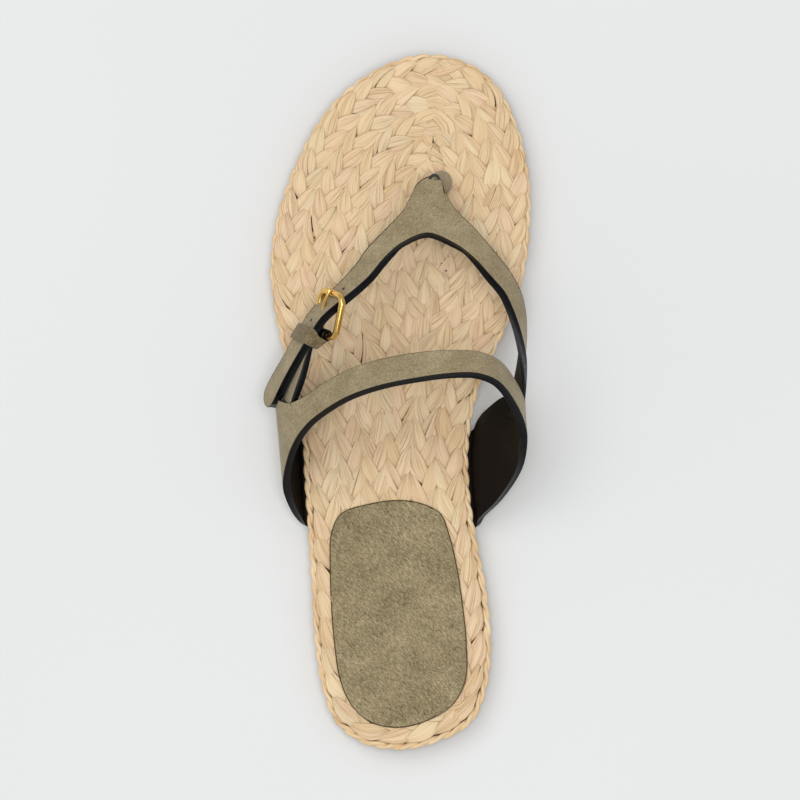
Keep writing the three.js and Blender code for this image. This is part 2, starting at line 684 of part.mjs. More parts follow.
const flipFlop = new THREE.Group();
flipFlop.add(namedMesh('outsole', soleLayer(soleOutline, OUTSOLE), COLOURS.sole));
flipFlop.add(namedMesh('midsole', midsole, COLOURS.core));
flipFlop.add(namedMesh('footbed', footbed, COLOURS.raffia));
flipFlop.add(namedMesh('rim_cord', rimCord(), COLOURS.raffia));
flipFlop.add(namedMesh('heel_pad', soleLayer(padOutline, HEEL_PAD, 4, 4), COLOURS.suede));
flipFlop.add(namedMesh('upper', upper, COLOURS.suede));
flipFlop.add(namedMesh('keeper', keeper(), COLOURS.suede));
flipFlop.add(namedMesh('buckle_frame', buckleFrame(), COLOURS.brass));
flipFlop.add(namedMesh('buckle_prong', buckleProng(), COLOURS.brass));

export default flipFlop;
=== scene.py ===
"""Woven flip-flop for the left foot: plaited raffia sole, suede straps with painted edges, side buckle.

Lengths are millimetres while a mesh is made and metres once it is finished. +Z is up, the toe is
towards +Y and the inner side of the foot is towards +X.
"""

import logging
import math
import random
from bisect import bisect_right
from dataclasses import dataclass
from enum import Enum, IntEnum
from typing import Callable, NamedTuple, Sequence

import bmesh
import bpy
from mathutils import Matrix, Vector


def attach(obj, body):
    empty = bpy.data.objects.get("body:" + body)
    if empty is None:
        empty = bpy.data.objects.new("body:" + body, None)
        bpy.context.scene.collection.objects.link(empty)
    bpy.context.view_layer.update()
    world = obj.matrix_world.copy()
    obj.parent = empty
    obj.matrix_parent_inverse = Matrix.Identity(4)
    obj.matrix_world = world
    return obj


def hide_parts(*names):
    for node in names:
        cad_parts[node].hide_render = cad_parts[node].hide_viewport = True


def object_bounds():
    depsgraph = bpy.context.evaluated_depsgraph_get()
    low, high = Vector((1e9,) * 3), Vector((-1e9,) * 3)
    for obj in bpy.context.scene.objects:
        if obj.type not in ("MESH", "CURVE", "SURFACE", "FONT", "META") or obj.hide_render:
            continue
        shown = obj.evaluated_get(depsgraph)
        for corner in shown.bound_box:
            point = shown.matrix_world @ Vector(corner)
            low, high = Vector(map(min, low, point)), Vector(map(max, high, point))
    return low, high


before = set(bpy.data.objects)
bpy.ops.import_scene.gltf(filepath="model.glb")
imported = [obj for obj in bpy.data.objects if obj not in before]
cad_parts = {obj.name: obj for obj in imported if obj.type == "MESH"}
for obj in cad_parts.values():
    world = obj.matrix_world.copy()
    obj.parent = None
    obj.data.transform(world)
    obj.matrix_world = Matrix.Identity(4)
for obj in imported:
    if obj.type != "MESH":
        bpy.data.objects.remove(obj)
CAD_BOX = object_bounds()

LOG = logging.getLogger("flip_flop")
MM = 0.001
UP = Vector((0, 0, 1))
Place = tuple[float, float, float]
Grid = list[list[Vector]]
Shade = tuple[int, int, int]
BMesh = bmesh.types.BMesh
Material = bpy.types.Material
Socket = bpy.types.NodeSocket

# Driving dimensions, in millimetres
SOLE_LENGTH = (CAD_BOX[1].y - CAD_BOX[0].y) / MM
BALL_WIDTH = 96
INSTEP_HEIGHT = 61
TOE_SPRING = 4.5
ARCH_LIFT = 1.6
GAP = 0.3
STRAP_THICKNESS = 2.8
BURIED_THICKNESS = 1.4
BURIED_DEPTH = 0.6
STRAP_WIDTH = 11

# Millimetres of a strand to one unit of the UV map, and the distance at which corners are one
GRAIN_LENGTH = 10.0
SAME_SPOT = 1e-5


def place_along(along: float) -> float:
    """Y of a place in hundredths of the sole's length from the heel."""
    return (along / 100 - 0.5) * SOLE_LENGTH


def place(across: float, along: float, rise: float) -> Vector:
    """Point given in hundredths of ball width, sole length and instep height.

    Args:
        across: Hundredths of the ball width from the centre line, inner side positive.
        along: Hundredths of the sole's length from the heel.
        rise: Hundredths of the instep height from the floor.

    Returns:
        The point in millimetres.
    """
    return Vector((across / 100 * BALL_WIDTH, place_along(along), rise / 100 * INSTEP_HEIGHT))


def lerp(start: float, end: float, share: float) -> float:
    """The number a share of the way from start to end."""
    return start + (end - start) * share


def smoothstep(low: float, high: float, value: float) -> float:
    """0 below low, 1 above high, and a soft rise between them."""
    share = min(1.0, max(0.0, (value - low) / (high - low)))
    return share * share * (3 - 2 * share)


def sole_lift(y: float) -> float:
    """Height of the sole's underside above the floor at a place along it.

    Args:
        y: Millimetres from the middle of the sole towards the toe.

    Returns:
        Millimetres of arch, toe spring and heel rise together.
    """
    arch_centre, arch_half, spring_start, heel_flat = 38, 10, 78, 6
    along = (y / SOLE_LENGTH + 0.5) * 100
    arch = 0.0
    if abs(along - arch_centre) < arch_half:
        arch = ARCH_LIFT * (0.5 + 0.5 * math.cos(math.pi * (along - arch_centre) / arch_half))
    spring = TOE_SPRING * (max(0.0, along - spring_start) / (100 - spring_start)) ** 2
    heel = (max(0.0, heel_flat - along) / heel_flat) ** 2
    return arch + spring + heel


class SmoothCurve:
    """Smooth curve through points, with the knots spaced by the root of the distance."""

    def __init__(self, points: Sequence[Vector], closed: bool = False) -> None:
        """Keeps the points.

        Args:
            points: Points the curve passes through.
            closed: Whether it runs on from the last point to the first.
        """
        self.points = list(points)
        self.closed = closed

    def at(self, share: float) -> Vector:
        """Point on the curve.

        Args:
            share: 0 at the first point, 1 at the end, each stretch between points the same share.

        Returns:
            The point.
        """
        points, count = self.points, len(self.points)
        reach = share * (count if self.closed else count - 1)
        first = math.floor(reach)
        if not self.closed:
            first = min(max(first, 0), count - 2)
        weight = reach - first
        if self.closed:
            p0, p1, p2, p3 = (points[(first + step) % count] for step in (-1, 0, 1, 2))
        else:
            p1, p2 = points[first], points[first + 1]
            p0 = points[first - 1] if first > 0 else p1 * 2 - p2
            p3 = points[first + 2] if first + 2 < count else p2 * 2 - p1
        before, here, after = ((b - a).length ** 0.5 or 1.0 for a, b in ((p0, p1), (p1, p2), (p2, p3)))
        start = ((p1 - p0) / before - (p2 - p0) / (before + here) + (p2 - p1) / here) * here
        end = ((p2 - p1) / here - (p3 - p1) / (here + after) + (p3 - p2) / after) * here
        cubic = p1 * 2 - p2 * 2 + start + end
        square = p2 * 3 - p1 * 3 - start * 2 - end
        return p1 + (start + (square + cubic * weight) * weight) * weight

    def heading(self, share: float) -> Vector:
        """Direction of the curve at a share of its length, one long.

        Args:
            share: Share of the curve.

        Returns:
            The direction.
        """
        step = 1e-4
        if self.closed:
            return (self.at(share + step) - self.at(share - step)).normalized()
        return (self.at(min(1, share + step)) - self.at(max(0, share - step))).normalized()


def column_at(values: Sequence[float], station: float) -> float:
    """Smooth reading of a column of numbers.

    Args:
        values: One number for each station.
        station: Where to read, 0 at the first number.

    Returns:
        The number there.
    """
    last = len(values) - 1
    station = min(max(station, 0.0), float(last))
    first = min(int(station), last - 1)
    weight = station - first
    p1, p2 = values[first], values[first + 1]
    p0 = values[first - 1] if first > 0 else 2 * p1 - p2
    p3 = values[first + 2] if first + 2 <= last else 2 * p2 - p1
    start, end = (p2 - p0) / 2, (p3 - p1) / 2
    square, cubic = 3 * (p2 - p1) - 2 * start - end, 2 * (p1 - p2) + start + end
    return p1 + (start + (square + cubic * weight) * weight) * weight


class Side(Enum):
    """The outer and the inner side of the foot."""

    LATERAL = -1
    MEDIAL = 1


class Skin(IntEnum):
    """Material slots of a leather piece: face, back and cut edge."""

    FACE = 0
    BACK = 1
    EDGE = 2


class CrossLine(NamedTuple):
    """Cross line of an outline, in hundredths."""

    along: float
    lateral: float
    medial: float


class Outline:
    """Closed smooth outline of a flat piece, read from heel to toe on either side."""

    SAMPLES = 360

    def __init__(
        self, heel: tuple[float, float], toe: tuple[float, float], rows: Sequence[CrossLine]
    ) -> None:
        """Lays the curve through the cross lines.

        Args:
            heel: Across and along of the rearmost point.
            toe: Across and along of the foremost point.
            rows: Cross lines from heel to toe.
        """
        lateral = [place(row.lateral, row.along, 0) for row in rows]
        medial = [place(row.medial, row.along, 0) for row in reversed(rows)]
        points = [place(*heel, 0), *lateral, place(*toe, 0), *medial]
        self.curve = SmoothCurve(points, closed=True)
        self.ring = [self.curve.at(step / self.SAMPLES) for step in range(self.SAMPLES)]

    def inward(self, share: float) -> Vector:
        """Level direction from the outline into the piece."""
        heading = self.curve.heading(share)
        return Vector((heading.y, -heading.x, 0))

    def on_curve(self, share: float, inset: float = 0.0) -> Vector:
        """Point of the outline, set in by a distance."""
        return self.curve.at(share) + self.inward(share) * inset

    def side_at(self, share: float, inset: float, side: Side) -> Vector:
        """Point on one side, 0 at the heel and 1 at the toe, set in by a distance."""
        return self.on_curve(1 - share / 2 if side is Side.MEDIAL else share / 2, inset)

    def edge_x(self, y: float, side: Side) -> float:
        """X of one side's edge at a given Y, found by halving.

        Args:
            y: Millimetres from the middle of the sole towards the toe.
            side: Side of the sole.

        Returns:
            X of the edge.
        """
        low, high, halvings = 0.0, 1.0, 26
        for _ in range(halvings):
            middle = (low + high) / 2
            if self.side_at(middle, 0, side).y < y:
                low = middle
            else:
                high = middle
        return self.side_at(low, 0, side).x

    def distance(self, point: Vector, side: Side | None = None) -> float:
        """Distance from a point to the outline.

        Args:
            point: Point to measure from.
            side: One side of the outline only, or None for all of it.

        Returns:
            The least distance to the outline's sample points.
        """
        half = self.SAMPLES // 2
        ring = {None: self.ring, Side.LATERAL: self.ring[:half], Side.MEDIAL: self.ring[half:]}[side]
        return min(math.hypot(p.x - point.x, p.y - point.y) for p in ring)

    def holds(self, point: Vector) -> bool:
        """Whether a point lies inside the outline, by counting the edges to its right.

        Args:
            point: Point to test.

        Returns:
            True if the point is inside.
        """
        inside = False
        for a, b in zip(self.ring, self.ring[1:] + self.ring[:1]):
            if (a.y > point.y) != (b.y > point.y):
                if point.x < a.x + (b.x - a.x) * (point.y - a.y) / (b.y - a.y):
                    inside = not inside
        return inside


SOLE = Outline(
    heel=(-0.6, 0),
    toe=(10.5, 100),
    rows=[
        CrossLine(0.9, -14, 12.6),
        CrossLine(3.9, -24.8, 27.2),
        CrossLine(9, -30, 33.2),
        CrossLine(16, -33, 34.6),
        CrossLine(23, -34, 33),
        CrossLine(30, -35.2, 29.3),
        CrossLine(37, -36.6, 26.8),
        CrossLine(44, -37.8, 26.4),
        CrossLine(52, -41.4, 30.4),
        CrossLine(57.5, -45.2, 36.8),
        CrossLine(62.5, -48.2, 42.8),
        CrossLine(69.2, -50.2, 48),
        CrossLine(76.2, -47.8, 50),
        CrossLine(83, -42, 49.4),
        CrossLine(90, -32.4, 44.8),
        CrossLine(95, -20.6, 38.2),
        CrossLine(98.5, -5.8, 27.4),
    ],
)
PAD = Outline(
    heel=(-1.5, 3.2),
    toe=(-1, 35.7),
    rows=[
        CrossLine(4, -11.5, 9),
        CrossLine(6.4, -18.6, 19.8),
        CrossLine(10, -23, 25),
        CrossLine(15, -25.2, 25.4),
        CrossLine(20.5, -26.4, 24),
        CrossLine(26, -26.9, 21.8),
        CrossLine(31, -26.4, 18.6),
        CrossLine(33.8, -22.6, 15.4),
        CrossLine(35.2, -11.5, 8.4),
    ],
)


# Meshes


def patch(
    bm: BMesh,
    rows: int,
    columns: int,
    at: Callable[[int, int], Vector],
    skin: int = 0,
    reach: tuple[float, float] = (1.0, 1.0),
) -> list[bmesh.types.BMFace]:
    """Sheet of four-sided faces with every corner put in its place.

    Args:
        bm: Mesh that takes the sheet.
        rows: Cells along the sheet.
        columns: Cells across the sheet.
        at: Gives the place of the corner in a row and column.
        skin: Material slot of the faces.
        reach: Length of the UV map across and along the sheet.

    Returns:
        The new faces.
    """
    row_of = bm.verts.layers.int.get("row") or bm.verts.layers.int.new("row")
    column_of = bm.verts.layers.int.get("column") or bm.verts.layers.int.new("column")
    uv = bm.loops.layers.uv.verify()
    made = bmesh.ops.create_grid(bm, x_segments=columns, y_segments=rows, size=0.5)["verts"]
    for vert in made:
        vert[row_of] = round((vert.co.y + 0.5) * rows)
        vert[column_of] = round((vert.co.x + 0.5) * columns)
        vert.co = at(vert[row_of], vert[column_of])
    faces = list({face for vert in made for face in vert.link_faces})
    for face in faces:
        face.material_index = skin
        for loop in face.loops:
            across, along = loop.vert[column_of] / columns, loop.vert[row_of] / rows
            loop[uv].uv = (across * reach[0], along * reach[1])
    return faces


def grid_of(rows: int, columns: int, at: Callable[[int, int], Vector]) -> Grid:
    """Points of a grid, row by row."""
    return [[at(row, column) for column in range(columns + 1)] for row in range(rows + 1)]


def wall(bm: BMesh, outer: Grid, inner: Grid, rounding: float = 0.0, groove: float = 0.0) -> None:
    """Closed body between two facing grids of points, with face, back and edge in their own slots.

    Args:
        bm: Mesh that takes the body.
        outer: Points of the outer face, row by row.
        inner: Points of the back, in the same order.
        rounding: Width of the bevel along the cut edges, none at 0.
        groove: Depth of the groove between two layers of leather, none at 0.
    """
    rows, columns = len(outer) - 1, len(outer[0]) - 1
    faces = patch(bm, rows, columns, lambda row, column: outer[row][column], Skin.FACE)
    row_of, column_of = bm.verts.layers.int["row"], bm.verts.layers.int["column"]
    verts = {vert for face in faces for vert in face.verts}
    edges = {edge for face in faces for edge in face.edges}
    made = bmesh.ops.extrude_face_region(bm, geom=[*faces, *verts, *edges], use_keep_orig=True)["geom"]
    back_verts = {item for item in made if isinstance(item, bmesh.types.BMVert)}
    back_faces = {item for item in made if isinstance(item, bmesh.types.BMFace)}
    for vert in back_verts:
        vert.co = inner[vert[row_of]][vert[column_of]]
    for face in back_faces:
        face.material_index = Skin.BACK
    rim = {face for vert in back_verts for face in vert.link_faces if face not in back_faces}
    for face in rim:
        face.material_index = Skin.EDGE
    bmesh.ops.recalc_face_normals(bm, faces=[*faces, *back_faces, *rim])
    corners = [edge for face in rim for edge in face.edges if any(f not in rim for f in edge.link_faces)]
    if groove:
        bmesh.ops.inset_region(
            bm, faces=list(rim), thickness=rounding * 1.5, depth=-groove, use_boundary=True,
            use_even_offset=True,
        )
    if rounding:
        bmesh.ops.bevel(
            bm, geom=list(set(corners)), offset=rounding, offset_type="OFFSET", segments=2,
            profile=0.5, affect="EDGES", material=Skin.EDGE, clamp_overlap=True,
        )


def backed(outer: Grid, thickness: Callable[[int], float], turn: int = 1) -> Grid:
    """Back of a leather sheet: its face moved in along the normals.

    Args:
        outer: Points of the face.
        thickness: Thickness at each row.
        turn: 1 when rows crossed with columns points out of the face, else -1.

    Returns:
        Points of the back.
    """
    last, edge = len(outer) - 1, len(outer[0]) - 1
    inner = []
    for row, line in enumerate(outer):
        back = []
        for column, point in enumerate(line):
            along = outer[min(row + 1, last)][column] - outer[max(row - 1, 0)][column]
            across = line[min(column + 1, edge)] - line[max(column - 1, 0)]
            back.append(point - along.cross(across).normalized() * (turn * thickness(row)))
        inner.append(back)
    return inner


def tube(
    bm: BMesh,
    path: Sequence[Vector],
    radius: Callable[[int], float],
    sides: int = 8,
    closed: bool = False,
) -> None:
    """Round bar or strand along a line of points.

    Args:
        bm: Mesh that takes the bar.
        path: Centres of the rings.
        radius: Radius at each ring.
        sides: Corners of a ring.
        closed: Whether the last ring joins the first; open ends get a cap.
    """
    count = len(path)
    rows = count if closed else count - 1
    rings = []
    for index, centre in enumerate(path):
        after = path[(index + 1) % count] if closed else path[min(index + 1, rows)]
        before = path[index - 1] if closed else path[max(index - 1, 0)]
        heading = (after - before).normalized()
        beside = heading.cross(UP if abs(heading.z) < 0.95 else Vector((1, 0, 0))).normalized()
        above = beside.cross(heading)
        turns, reach = [2 * math.pi * side / sides for side in range(sides)], radius(index)
        rings.append([centre + (beside * math.cos(a) + above * math.sin(a)) * reach for a in turns])
    length = sum((b - a).length for a, b in zip(path, path[1:]))
    faces = patch(
        bm, rows, sides, lambda row, column: rings[row % count][column % sides],
        reach=(1.0, length / GRAIN_LENGTH),
    )
    verts = {vert for face in faces for vert in face.verts}
    bmesh.ops.remove_doubles(bm, verts=list(verts), dist=SAME_SPOT)
    if not closed:
        rims = {e for v in verts if v.is_valid for e in v.link_edges if e.is_boundary}
        bmesh.ops.holes_fill(bm, edges=list(rims), sides=0)


def strip_shares(length: float, border: float, columns: int) -> list[float]:
    """Shares across a face whose first and last cells are as wide as its border.

    Args:
        length: Length across the face.
        border: Width of the border.
        columns: Cells across the face.

    Returns:
        Shares from 0 to 1, one more than the cells.
    """
    most = 0.2
    trim = min(border / max(length, 1), most)
    return [0, *(lerp(trim, 1 - trim, column / (columns - 2)) for column in range(columns - 1)), 1]


def slab(
    bm: BMesh,
    outline: Outline,
    inset: float,
    bottom: Callable[[Vector], float],
    top: Callable[[Vector], float],
    rounding: float = 0.0,
    rows: int = 120,
    columns: int = 10,
    border: float = 0.0,
) -> None:
    """Flat layer of the sole between two heights.

    Args:
        bm: Mesh that takes the layer.
        outline: Outline of the layer.
        inset: How far the layer stays inside the outline.
        bottom: Height of the underside at a point.
        top: Height of the upper face at a point.
        rounding: Bevel of the rim.
        rows: Cells along the layer.
        columns: Cells across the layer.
        border: Width of the strip round the upper face that is finished like the rim.
    """
    margin = 0.35
    upper, lower = [], []
    for row in range(rows + 1):
        share = 0.5 - 0.5 * math.cos(math.pi * (row + margin) / (rows + 2 * margin))
        left = outline.side_at(share, inset, Side.LATERAL)
        right = outline.side_at(share, inset, Side.MEDIAL)
        line = [left.lerp(right, share) for share in strip_shares((right - left).length, border, columns)]
        upper.append([Vector((p.x, p.y, top(p))) for p in line])
        lower.append([Vector((p.x, p.y, bottom(p))) for p in line])
    wall(bm, upper, lower, rounding)
    faces = [face for face in bm.faces if border and face.material_index == Skin.FACE]
    for face in faces:
        if outline.distance(face.calc_center_median()) < border:
            face.material_index = Skin.EDGE


# Finishes


def tone(red: int, green: int, blue: int) -> tuple[float, float, float, float]:
    """Colour for a socket, from the usual 0 to 255 numbers.

    Args:
        red: Red part.
        green: Green part.
        blue: Blue part.

    Returns:
        Red, green, blue and alpha for the socket.
    """

    def linear(value: int) -> float:
        """One channel without its display curve."""
        part = value / 255
        return part / 12.92 if part <= 0.04045 else ((part + 0.055) / 1.055) ** 2.4

    return linear(red), linear(green), linear(blue), 1.0


class Sheet:
    """Node tree of one finish, with short calls for the nodes it uses."""

    def __init__(self, name: str) -> None:
        """Starts an empty material with its output.

        Args:
            name: Name of the finish.
        """
        self.material = bpy.data.materials.new(name)
        self.material.use_nodes = True
        self.tree = self.material.node_tree
        self.tree.nodes.clear()
        self.output = self.tree.nodes.new("ShaderNodeOutputMaterial")

    def feed(self, port: Socket, value: object) -> None:
        """Links a socket into an input, or sets the input's own value.

        Args:
            port: The input.
            value: Socket to link, or a value.
        """
        if isinstance(value, Socket):
            self.tree.links.new(value, port)
        else:
            port.default_value = value

    def add(
        self, kind: str, ports: dict[str | int, object] | None = None, **settings: object
    ) -> bpy.types.Node:
        """New node with its settings and inputs.

        Args:
            kind: Blender's name of the node.
            ports: Value or socket for each input.
            settings: Properties of the node.

        Returns:
            The node.
        """
        node = self.tree.nodes.new(kind)
        for name, value in settings.items():
            setattr(node, name, value)
        for name, value in (ports or {}).items():
            self.feed(node.inputs[name], value)
        return node

    def math(self, operation: str, *values: object) -> Socket:
        """Result of a sum on one, two or three numbers."""
        return self.add("ShaderNodeMath", dict(enumerate(values)), operation=operation).outputs[0]

    def weigh(self, first: Socket, share: float, second: Socket, other: float) -> Socket:
        """Two numbers added, each times its own weight."""
        return self.math("MULTIPLY_ADD", first, share, self.math("MULTIPLY", second, other))

    def place(self) -> Socket:
        """Object coordinates, in metres."""
        return self.add("ShaderNodeTexCoord").outputs["Object"]

    def uv(self) -> tuple[Socket, Socket]:
        """The two numbers of the UV map: across and along."""
        split = self.add("ShaderNodeSeparateXYZ", {0: self.add("ShaderNodeTexCoord").outputs["UV"]})
        return split.outputs[0], split.outputs[1]

    def attribute(self, name: str) -> Socket:
        """Number kept on the mesh under a name."""
        return self.add("ShaderNodeAttribute", attribute_name=name).outputs["Fac"]

    def vector(self, x: object, y: object, z: object) -> Socket:
        """Three numbers as one vector."""
        return self.add("ShaderNodeCombineXYZ", {0: x, 1: y, 2: z}).outputs[0]

    def turned(self, vector: Socket, angle: float, scale: Place) -> Socket:
        """Vector for grain turned about Z by degrees and stretched by the scale."""
        ports = {"Vector": vector, "Rotation": (0, 0, math.radians(angle)), "Scale": scale}
        return self.add("ShaderNodeMapping", ports, vector_type="TEXTURE").outputs[0]

    def noise(self, vector: Socket, scale: float, detail: float = 2.0, roughness: float = 0.5) -> Socket:
        """Cloudy number between 0 and 1."""
        ports = {"Vector": vector, "Scale": scale, "Detail": detail, "Roughness": roughness}
        return self.add("ShaderNodeTexNoise", ports).outputs["Fac"]

    def spread(self, value: Socket, low: float, high: float, to_low: float, to_high: float) -> Socket:
        """Number stretched from one range to another, and kept inside it."""
        ports = {0: value, 1: low, 2: high, 3: to_low, 4: to_high}
        return self.add("ShaderNodeMapRange", ports, clamp=True).outputs[0]

    def gloss(self, clouds: Socket, smooth: float, rough: float) -> Socket:
        """Roughness that a cloudy number moves between two values."""
        return self.spread(clouds, 0.3, 0.7, smooth, rough)

    def ramp(self, value: Socket, shades: Sequence[tuple[float, Shade]]) -> Socket:
        """Colour read off a row of shades.

        Args:
            value: Place on the row.
            shades: Places and their colours.

        Returns:
            The colour.
        """
        node = self.add("ShaderNodeValToRGB", {0: value})
        stops = node.color_ramp.elements
        while len(stops) < len(shades):
            stops.new(0.5)
        for stop, (position, shade) in zip(stops, shades):
            stop.position, stop.color = position, tone(*shade)
        return node.outputs[0]

    def mix(self, share: object, first: object, second: object, blend: str = "MIX") -> Socket:
        """Two colours mixed by a share.

        Args:
            share: Share of the second colour.
            first: First colour.
            second: Second colour.
            blend: How the two are mixed.

        Returns:
            The mixed colour.
        """
        node = self.add("ShaderNodeMix", data_type="RGBA", blend_type=blend)
        for port, value in ((0, share), (6, first), (7, second)):
            self.feed(node.inputs[port], value)
        return node.outputs[2]

    def bump(self, height: Socket, strength: float, depth: float) -> Socket:
        """Surface normal tipped by a height, with its depth in metres."""
        ports = {"Height": height, "Strength": strength, "Distance": depth}
        return self.add("ShaderNodeBump", ports).outputs[0]

    def finish(self, **ports: object) -> Material:
        """Closes the tree with the surface shader.

        Args:
            ports: Values and sockets of the shader, with underscores for spaces.

        Returns:
            The finished material.
        """
        named = {name.replace("_", " "): value for name, value in ports.items()}
        shader = self.add("ShaderNodeBsdfPrincipled", named)
        self.tree.links.new(shader.outputs[0], self.output.inputs["Surface"])
        return self.material


@dataclass(frozen=True)
class Finish:
    """A finish, made once and shared by the pieces that wear it."""

    name: str

    def material(self) -> Material:
        """The finish's material, made on first use."""
        return bpy.data.materials.get(self.name) or self.recipe(Sheet(self.name))

    def recipe(self, sheet: Sheet) -> Material:
        """Fills the sheet with the finish's nodes."""
        raise NotImplementedError


@dataclass(frozen=True)
class Suede(Finish):
    """Brushed suede: short nap, mottled by the way it lies."""

    dark: Shade = (115, 100, 72)
    middle: Shade = (156, 140, 107)
    light: Shade = (191, 176, 142)
    nap: float = 2300
    brushing: float = -38
    mottling: float = 120
    relief: float = 0.00022

    def recipe(self, sheet: Sheet) -> Material:
        """Speckle, brushed fibres and soft patches.

        Args:
            sheet: Empty sheet of the finish.

        Returns:
            The finished material.
        """
        where = sheet.place()
        speckle = sheet.noise(where, self.nap, 3, 0.7)
        fibres = sheet.noise(sheet.turned(where, self.brushing, (1, 3.6, 1)), self.nap * 1.1, 2, 0.6)
        patches = sheet.noise(where, self.mottling, 4, 0.6)
        nap = sheet.weigh(speckle, 0.5, fibres, 0.5)
        value = sheet.weigh(patches, 0.24, nap, 0.78)
        colour = sheet.ramp(value, [(0.36, self.dark), (0.52, self.middle), (0.68, self.light)])
        return sheet.finish(
            Base_Color=colour, Roughness=0.95, Specular_IOR_Level=0.15, Sheen_Weight=0.18,
            Sheen_Roughness=0.45, Normal=sheet.bump(nap, 0.55, self.relief),
        )


@dataclass(frozen=True)
class Lining(Finish):
    """Dark smooth lining leather."""

    def recipe(self, sheet: Sheet) -> Material:
        """Faint grain and a soft change of brown.

        Args:
            sheet: Empty sheet of the finish.

        Returns:
            The finished material.
        """
        where = sheet.place()
        grain = sheet.noise(where, 1500, 3, 0.6)
        clouds = sheet.noise(where, 45, 2)
        colour = sheet.ramp(clouds, [(0.35, (7, 5, 4)), (0.7, (24, 16, 9))])
        return sheet.finish(
            Base_Color=colour, Roughness=sheet.gloss(grain, 0.5, 0.68), Specular_IOR_Level=0.14,
            Normal=sheet.bump(grain, 0.3, 0.00012),
        )


@dataclass(frozen=True)
class EdgePaint(Finish):
    """Black paint on cut leather edges, slightly glossy."""

    def recipe(self, sheet: Sheet) -> Material:
        """Nearly black, with small swells in the paint.

        Args:
            sheet: Empty sheet of the finish.

        Returns:
            The finished material.
        """
        swells = sheet.noise(sheet.place(), 420, 2)
        colour = sheet.ramp(swells, [(0.3, (2, 2, 3)), (0.7, (6, 6, 9))])
        return sheet.finish(
            Base_Color=colour, Roughness=sheet.gloss(swells, 0.26, 0.38), Specular_IOR_Level=0.26,
            Normal=sheet.bump(swells, 0.2, 0.0002),
        )


@dataclass(frozen=True)
class RaffiaLeaf(Finish):
    """Flat raffia leaf: fine pleats along it, its own tint, painted shade at the borders where leaves meet.
    """

    def recipe(self, sheet: Sheet) -> Material:
        """Tint by leaf, streaks by the UV map with painted shade in the pleats, and painted shade at the
        borders and tips.

        Args:
            sheet: Empty sheet of the finish.

        Returns:
            The finished material.
        """
        across, along = sheet.uv()
        tint, seed = sheet.attribute("tint"), sheet.attribute("seed")
        base = sheet.ramp(tint, [
            (0.0, (239, 206, 165)), (0.25, (243, 216, 173)), (0.45, (240, 207, 170)),
            (0.62, (245, 221, 179)), (0.8, (236, 204, 158)), (0.95, (240, 216, 176)),
        ])
        offset = sheet.math("MULTIPLY", seed, 60.0)
        pleats = sheet.noise(sheet.vector(sheet.math("MULTIPLY", across, 9.0), along, offset), 1.0, 1, 0.4)
        stretched = sheet.math("MULTIPLY", along, 1.6)
        fine = sheet.vector(sheet.math("MULTIPLY", across, 26.0), stretched, offset)
        fibres = sheet.noise(fine, 1.0, 2)
        shade = sheet.weigh(pleats, 0.62, fibres, 0.38)
        # Streaks: partly the fibres' own tone, partly painted shade in the troughs of the pleats.
        streaks = sheet.ramp(shade, [
            (0.3, (186, 160, 130)), (0.43, (238, 230, 220)), (0.62, (255, 254, 252)),
        ])
        body = sheet.mix(0.85, base, streaks, "MULTIPLY")
        # Painted shade: the leaf turns brown towards its borders and its tips, where it meets the next leaf
        # or tucks under it.
        from_middle = sheet.math("ABSOLUTE", sheet.math("SUBTRACT", across, 0.5))
        border = sheet.spread(sheet.math("MULTIPLY_ADD", fibres, 0.1, from_middle), 0.47, 0.55, 0.0, 0.6)
        from_tip = sheet.math("ABSOLUTE", sheet.math("SUBTRACT", along, 0.5))
        tip = sheet.spread(from_tip, 0.36, 0.52, 0.0, 0.42)
        # The leaf's colour, with the painted shade of borders and tips mixed in.
        colour = sheet.mix(sheet.math("MAXIMUM", border, tip), body, tone(150, 110, 66))
        return sheet.finish(
            Base_Color=colour, Roughness=sheet.gloss(fibres, 0.46, 0.62), Specular_IOR_Level=0.35,
            Normal=sheet.bump(shade, 0.8, 0.0005),
        )


@dataclass(frozen=True)
class RaffiaStrand(Finish):
    """Twisted raffia strand: fibres along it, changing tone every few millimetres."""

    shades: tuple[Shade, Shade, Shade] = ((206, 166, 118), (239, 206, 158), (249, 225, 186))

    def recipe(self, sheet: Sheet) -> Material:
        """Fibres by the UV map and slow changes along the strand.

        Args:
            sheet: Empty sheet of the finish.

        Returns:
            The finished material.
        """
        across, along = sheet.uv()
        fibres = sheet.noise(sheet.vector(sheet.math("MULTIPLY", across, 11.0), along, 0.0), 1.0, 3, 0.6)
        slow = sheet.noise(sheet.vector(0.0, sheet.math("MULTIPLY", along, 0.7), 4.0), 1.0, 1)
        value = sheet.weigh(fibres, 0.62, slow, 0.38)
        colour = sheet.ramp(value, [(0.34, self.shades[0]), (0.5, self.shades[1]), (0.66, self.shades[2])])
        return sheet.finish(
            Base_Color=colour, Roughness=sheet.gloss(fibres, 0.5, 0.66), Specular_IOR_Level=0.3,
            Normal=sheet.bump(fibres, 0.7, 0.0003),
        )


@dataclass(frozen=True)
class ShadedStrawBed(Finish):
    """Straw between the leaves and the side strands, darkened as painted shade."""

    shades: tuple[Shade, Shade] = ((66, 44, 22), (128, 94, 54))

    def recipe(self, sheet: Sheet) -> Material:
        """Coarse fibres in two browns.

        Args:
            sheet: Empty sheet of the finish.

        Returns:
            The finished material.
        """
        fibres = sheet.noise(sheet.turned(sheet.place(), 20, (1, 5, 1)), 900, 3, 0.6)
        colour = sheet.ramp(fibres, [(0.35, self.shades[0]), (0.65, self.shades[1])])
        return sheet.finish(
            Base_Color=colour, Roughness=0.85, Specular_IOR_Level=0.15,
            Normal=sheet.bump(fibres, 0.6, 0.0005),
        )


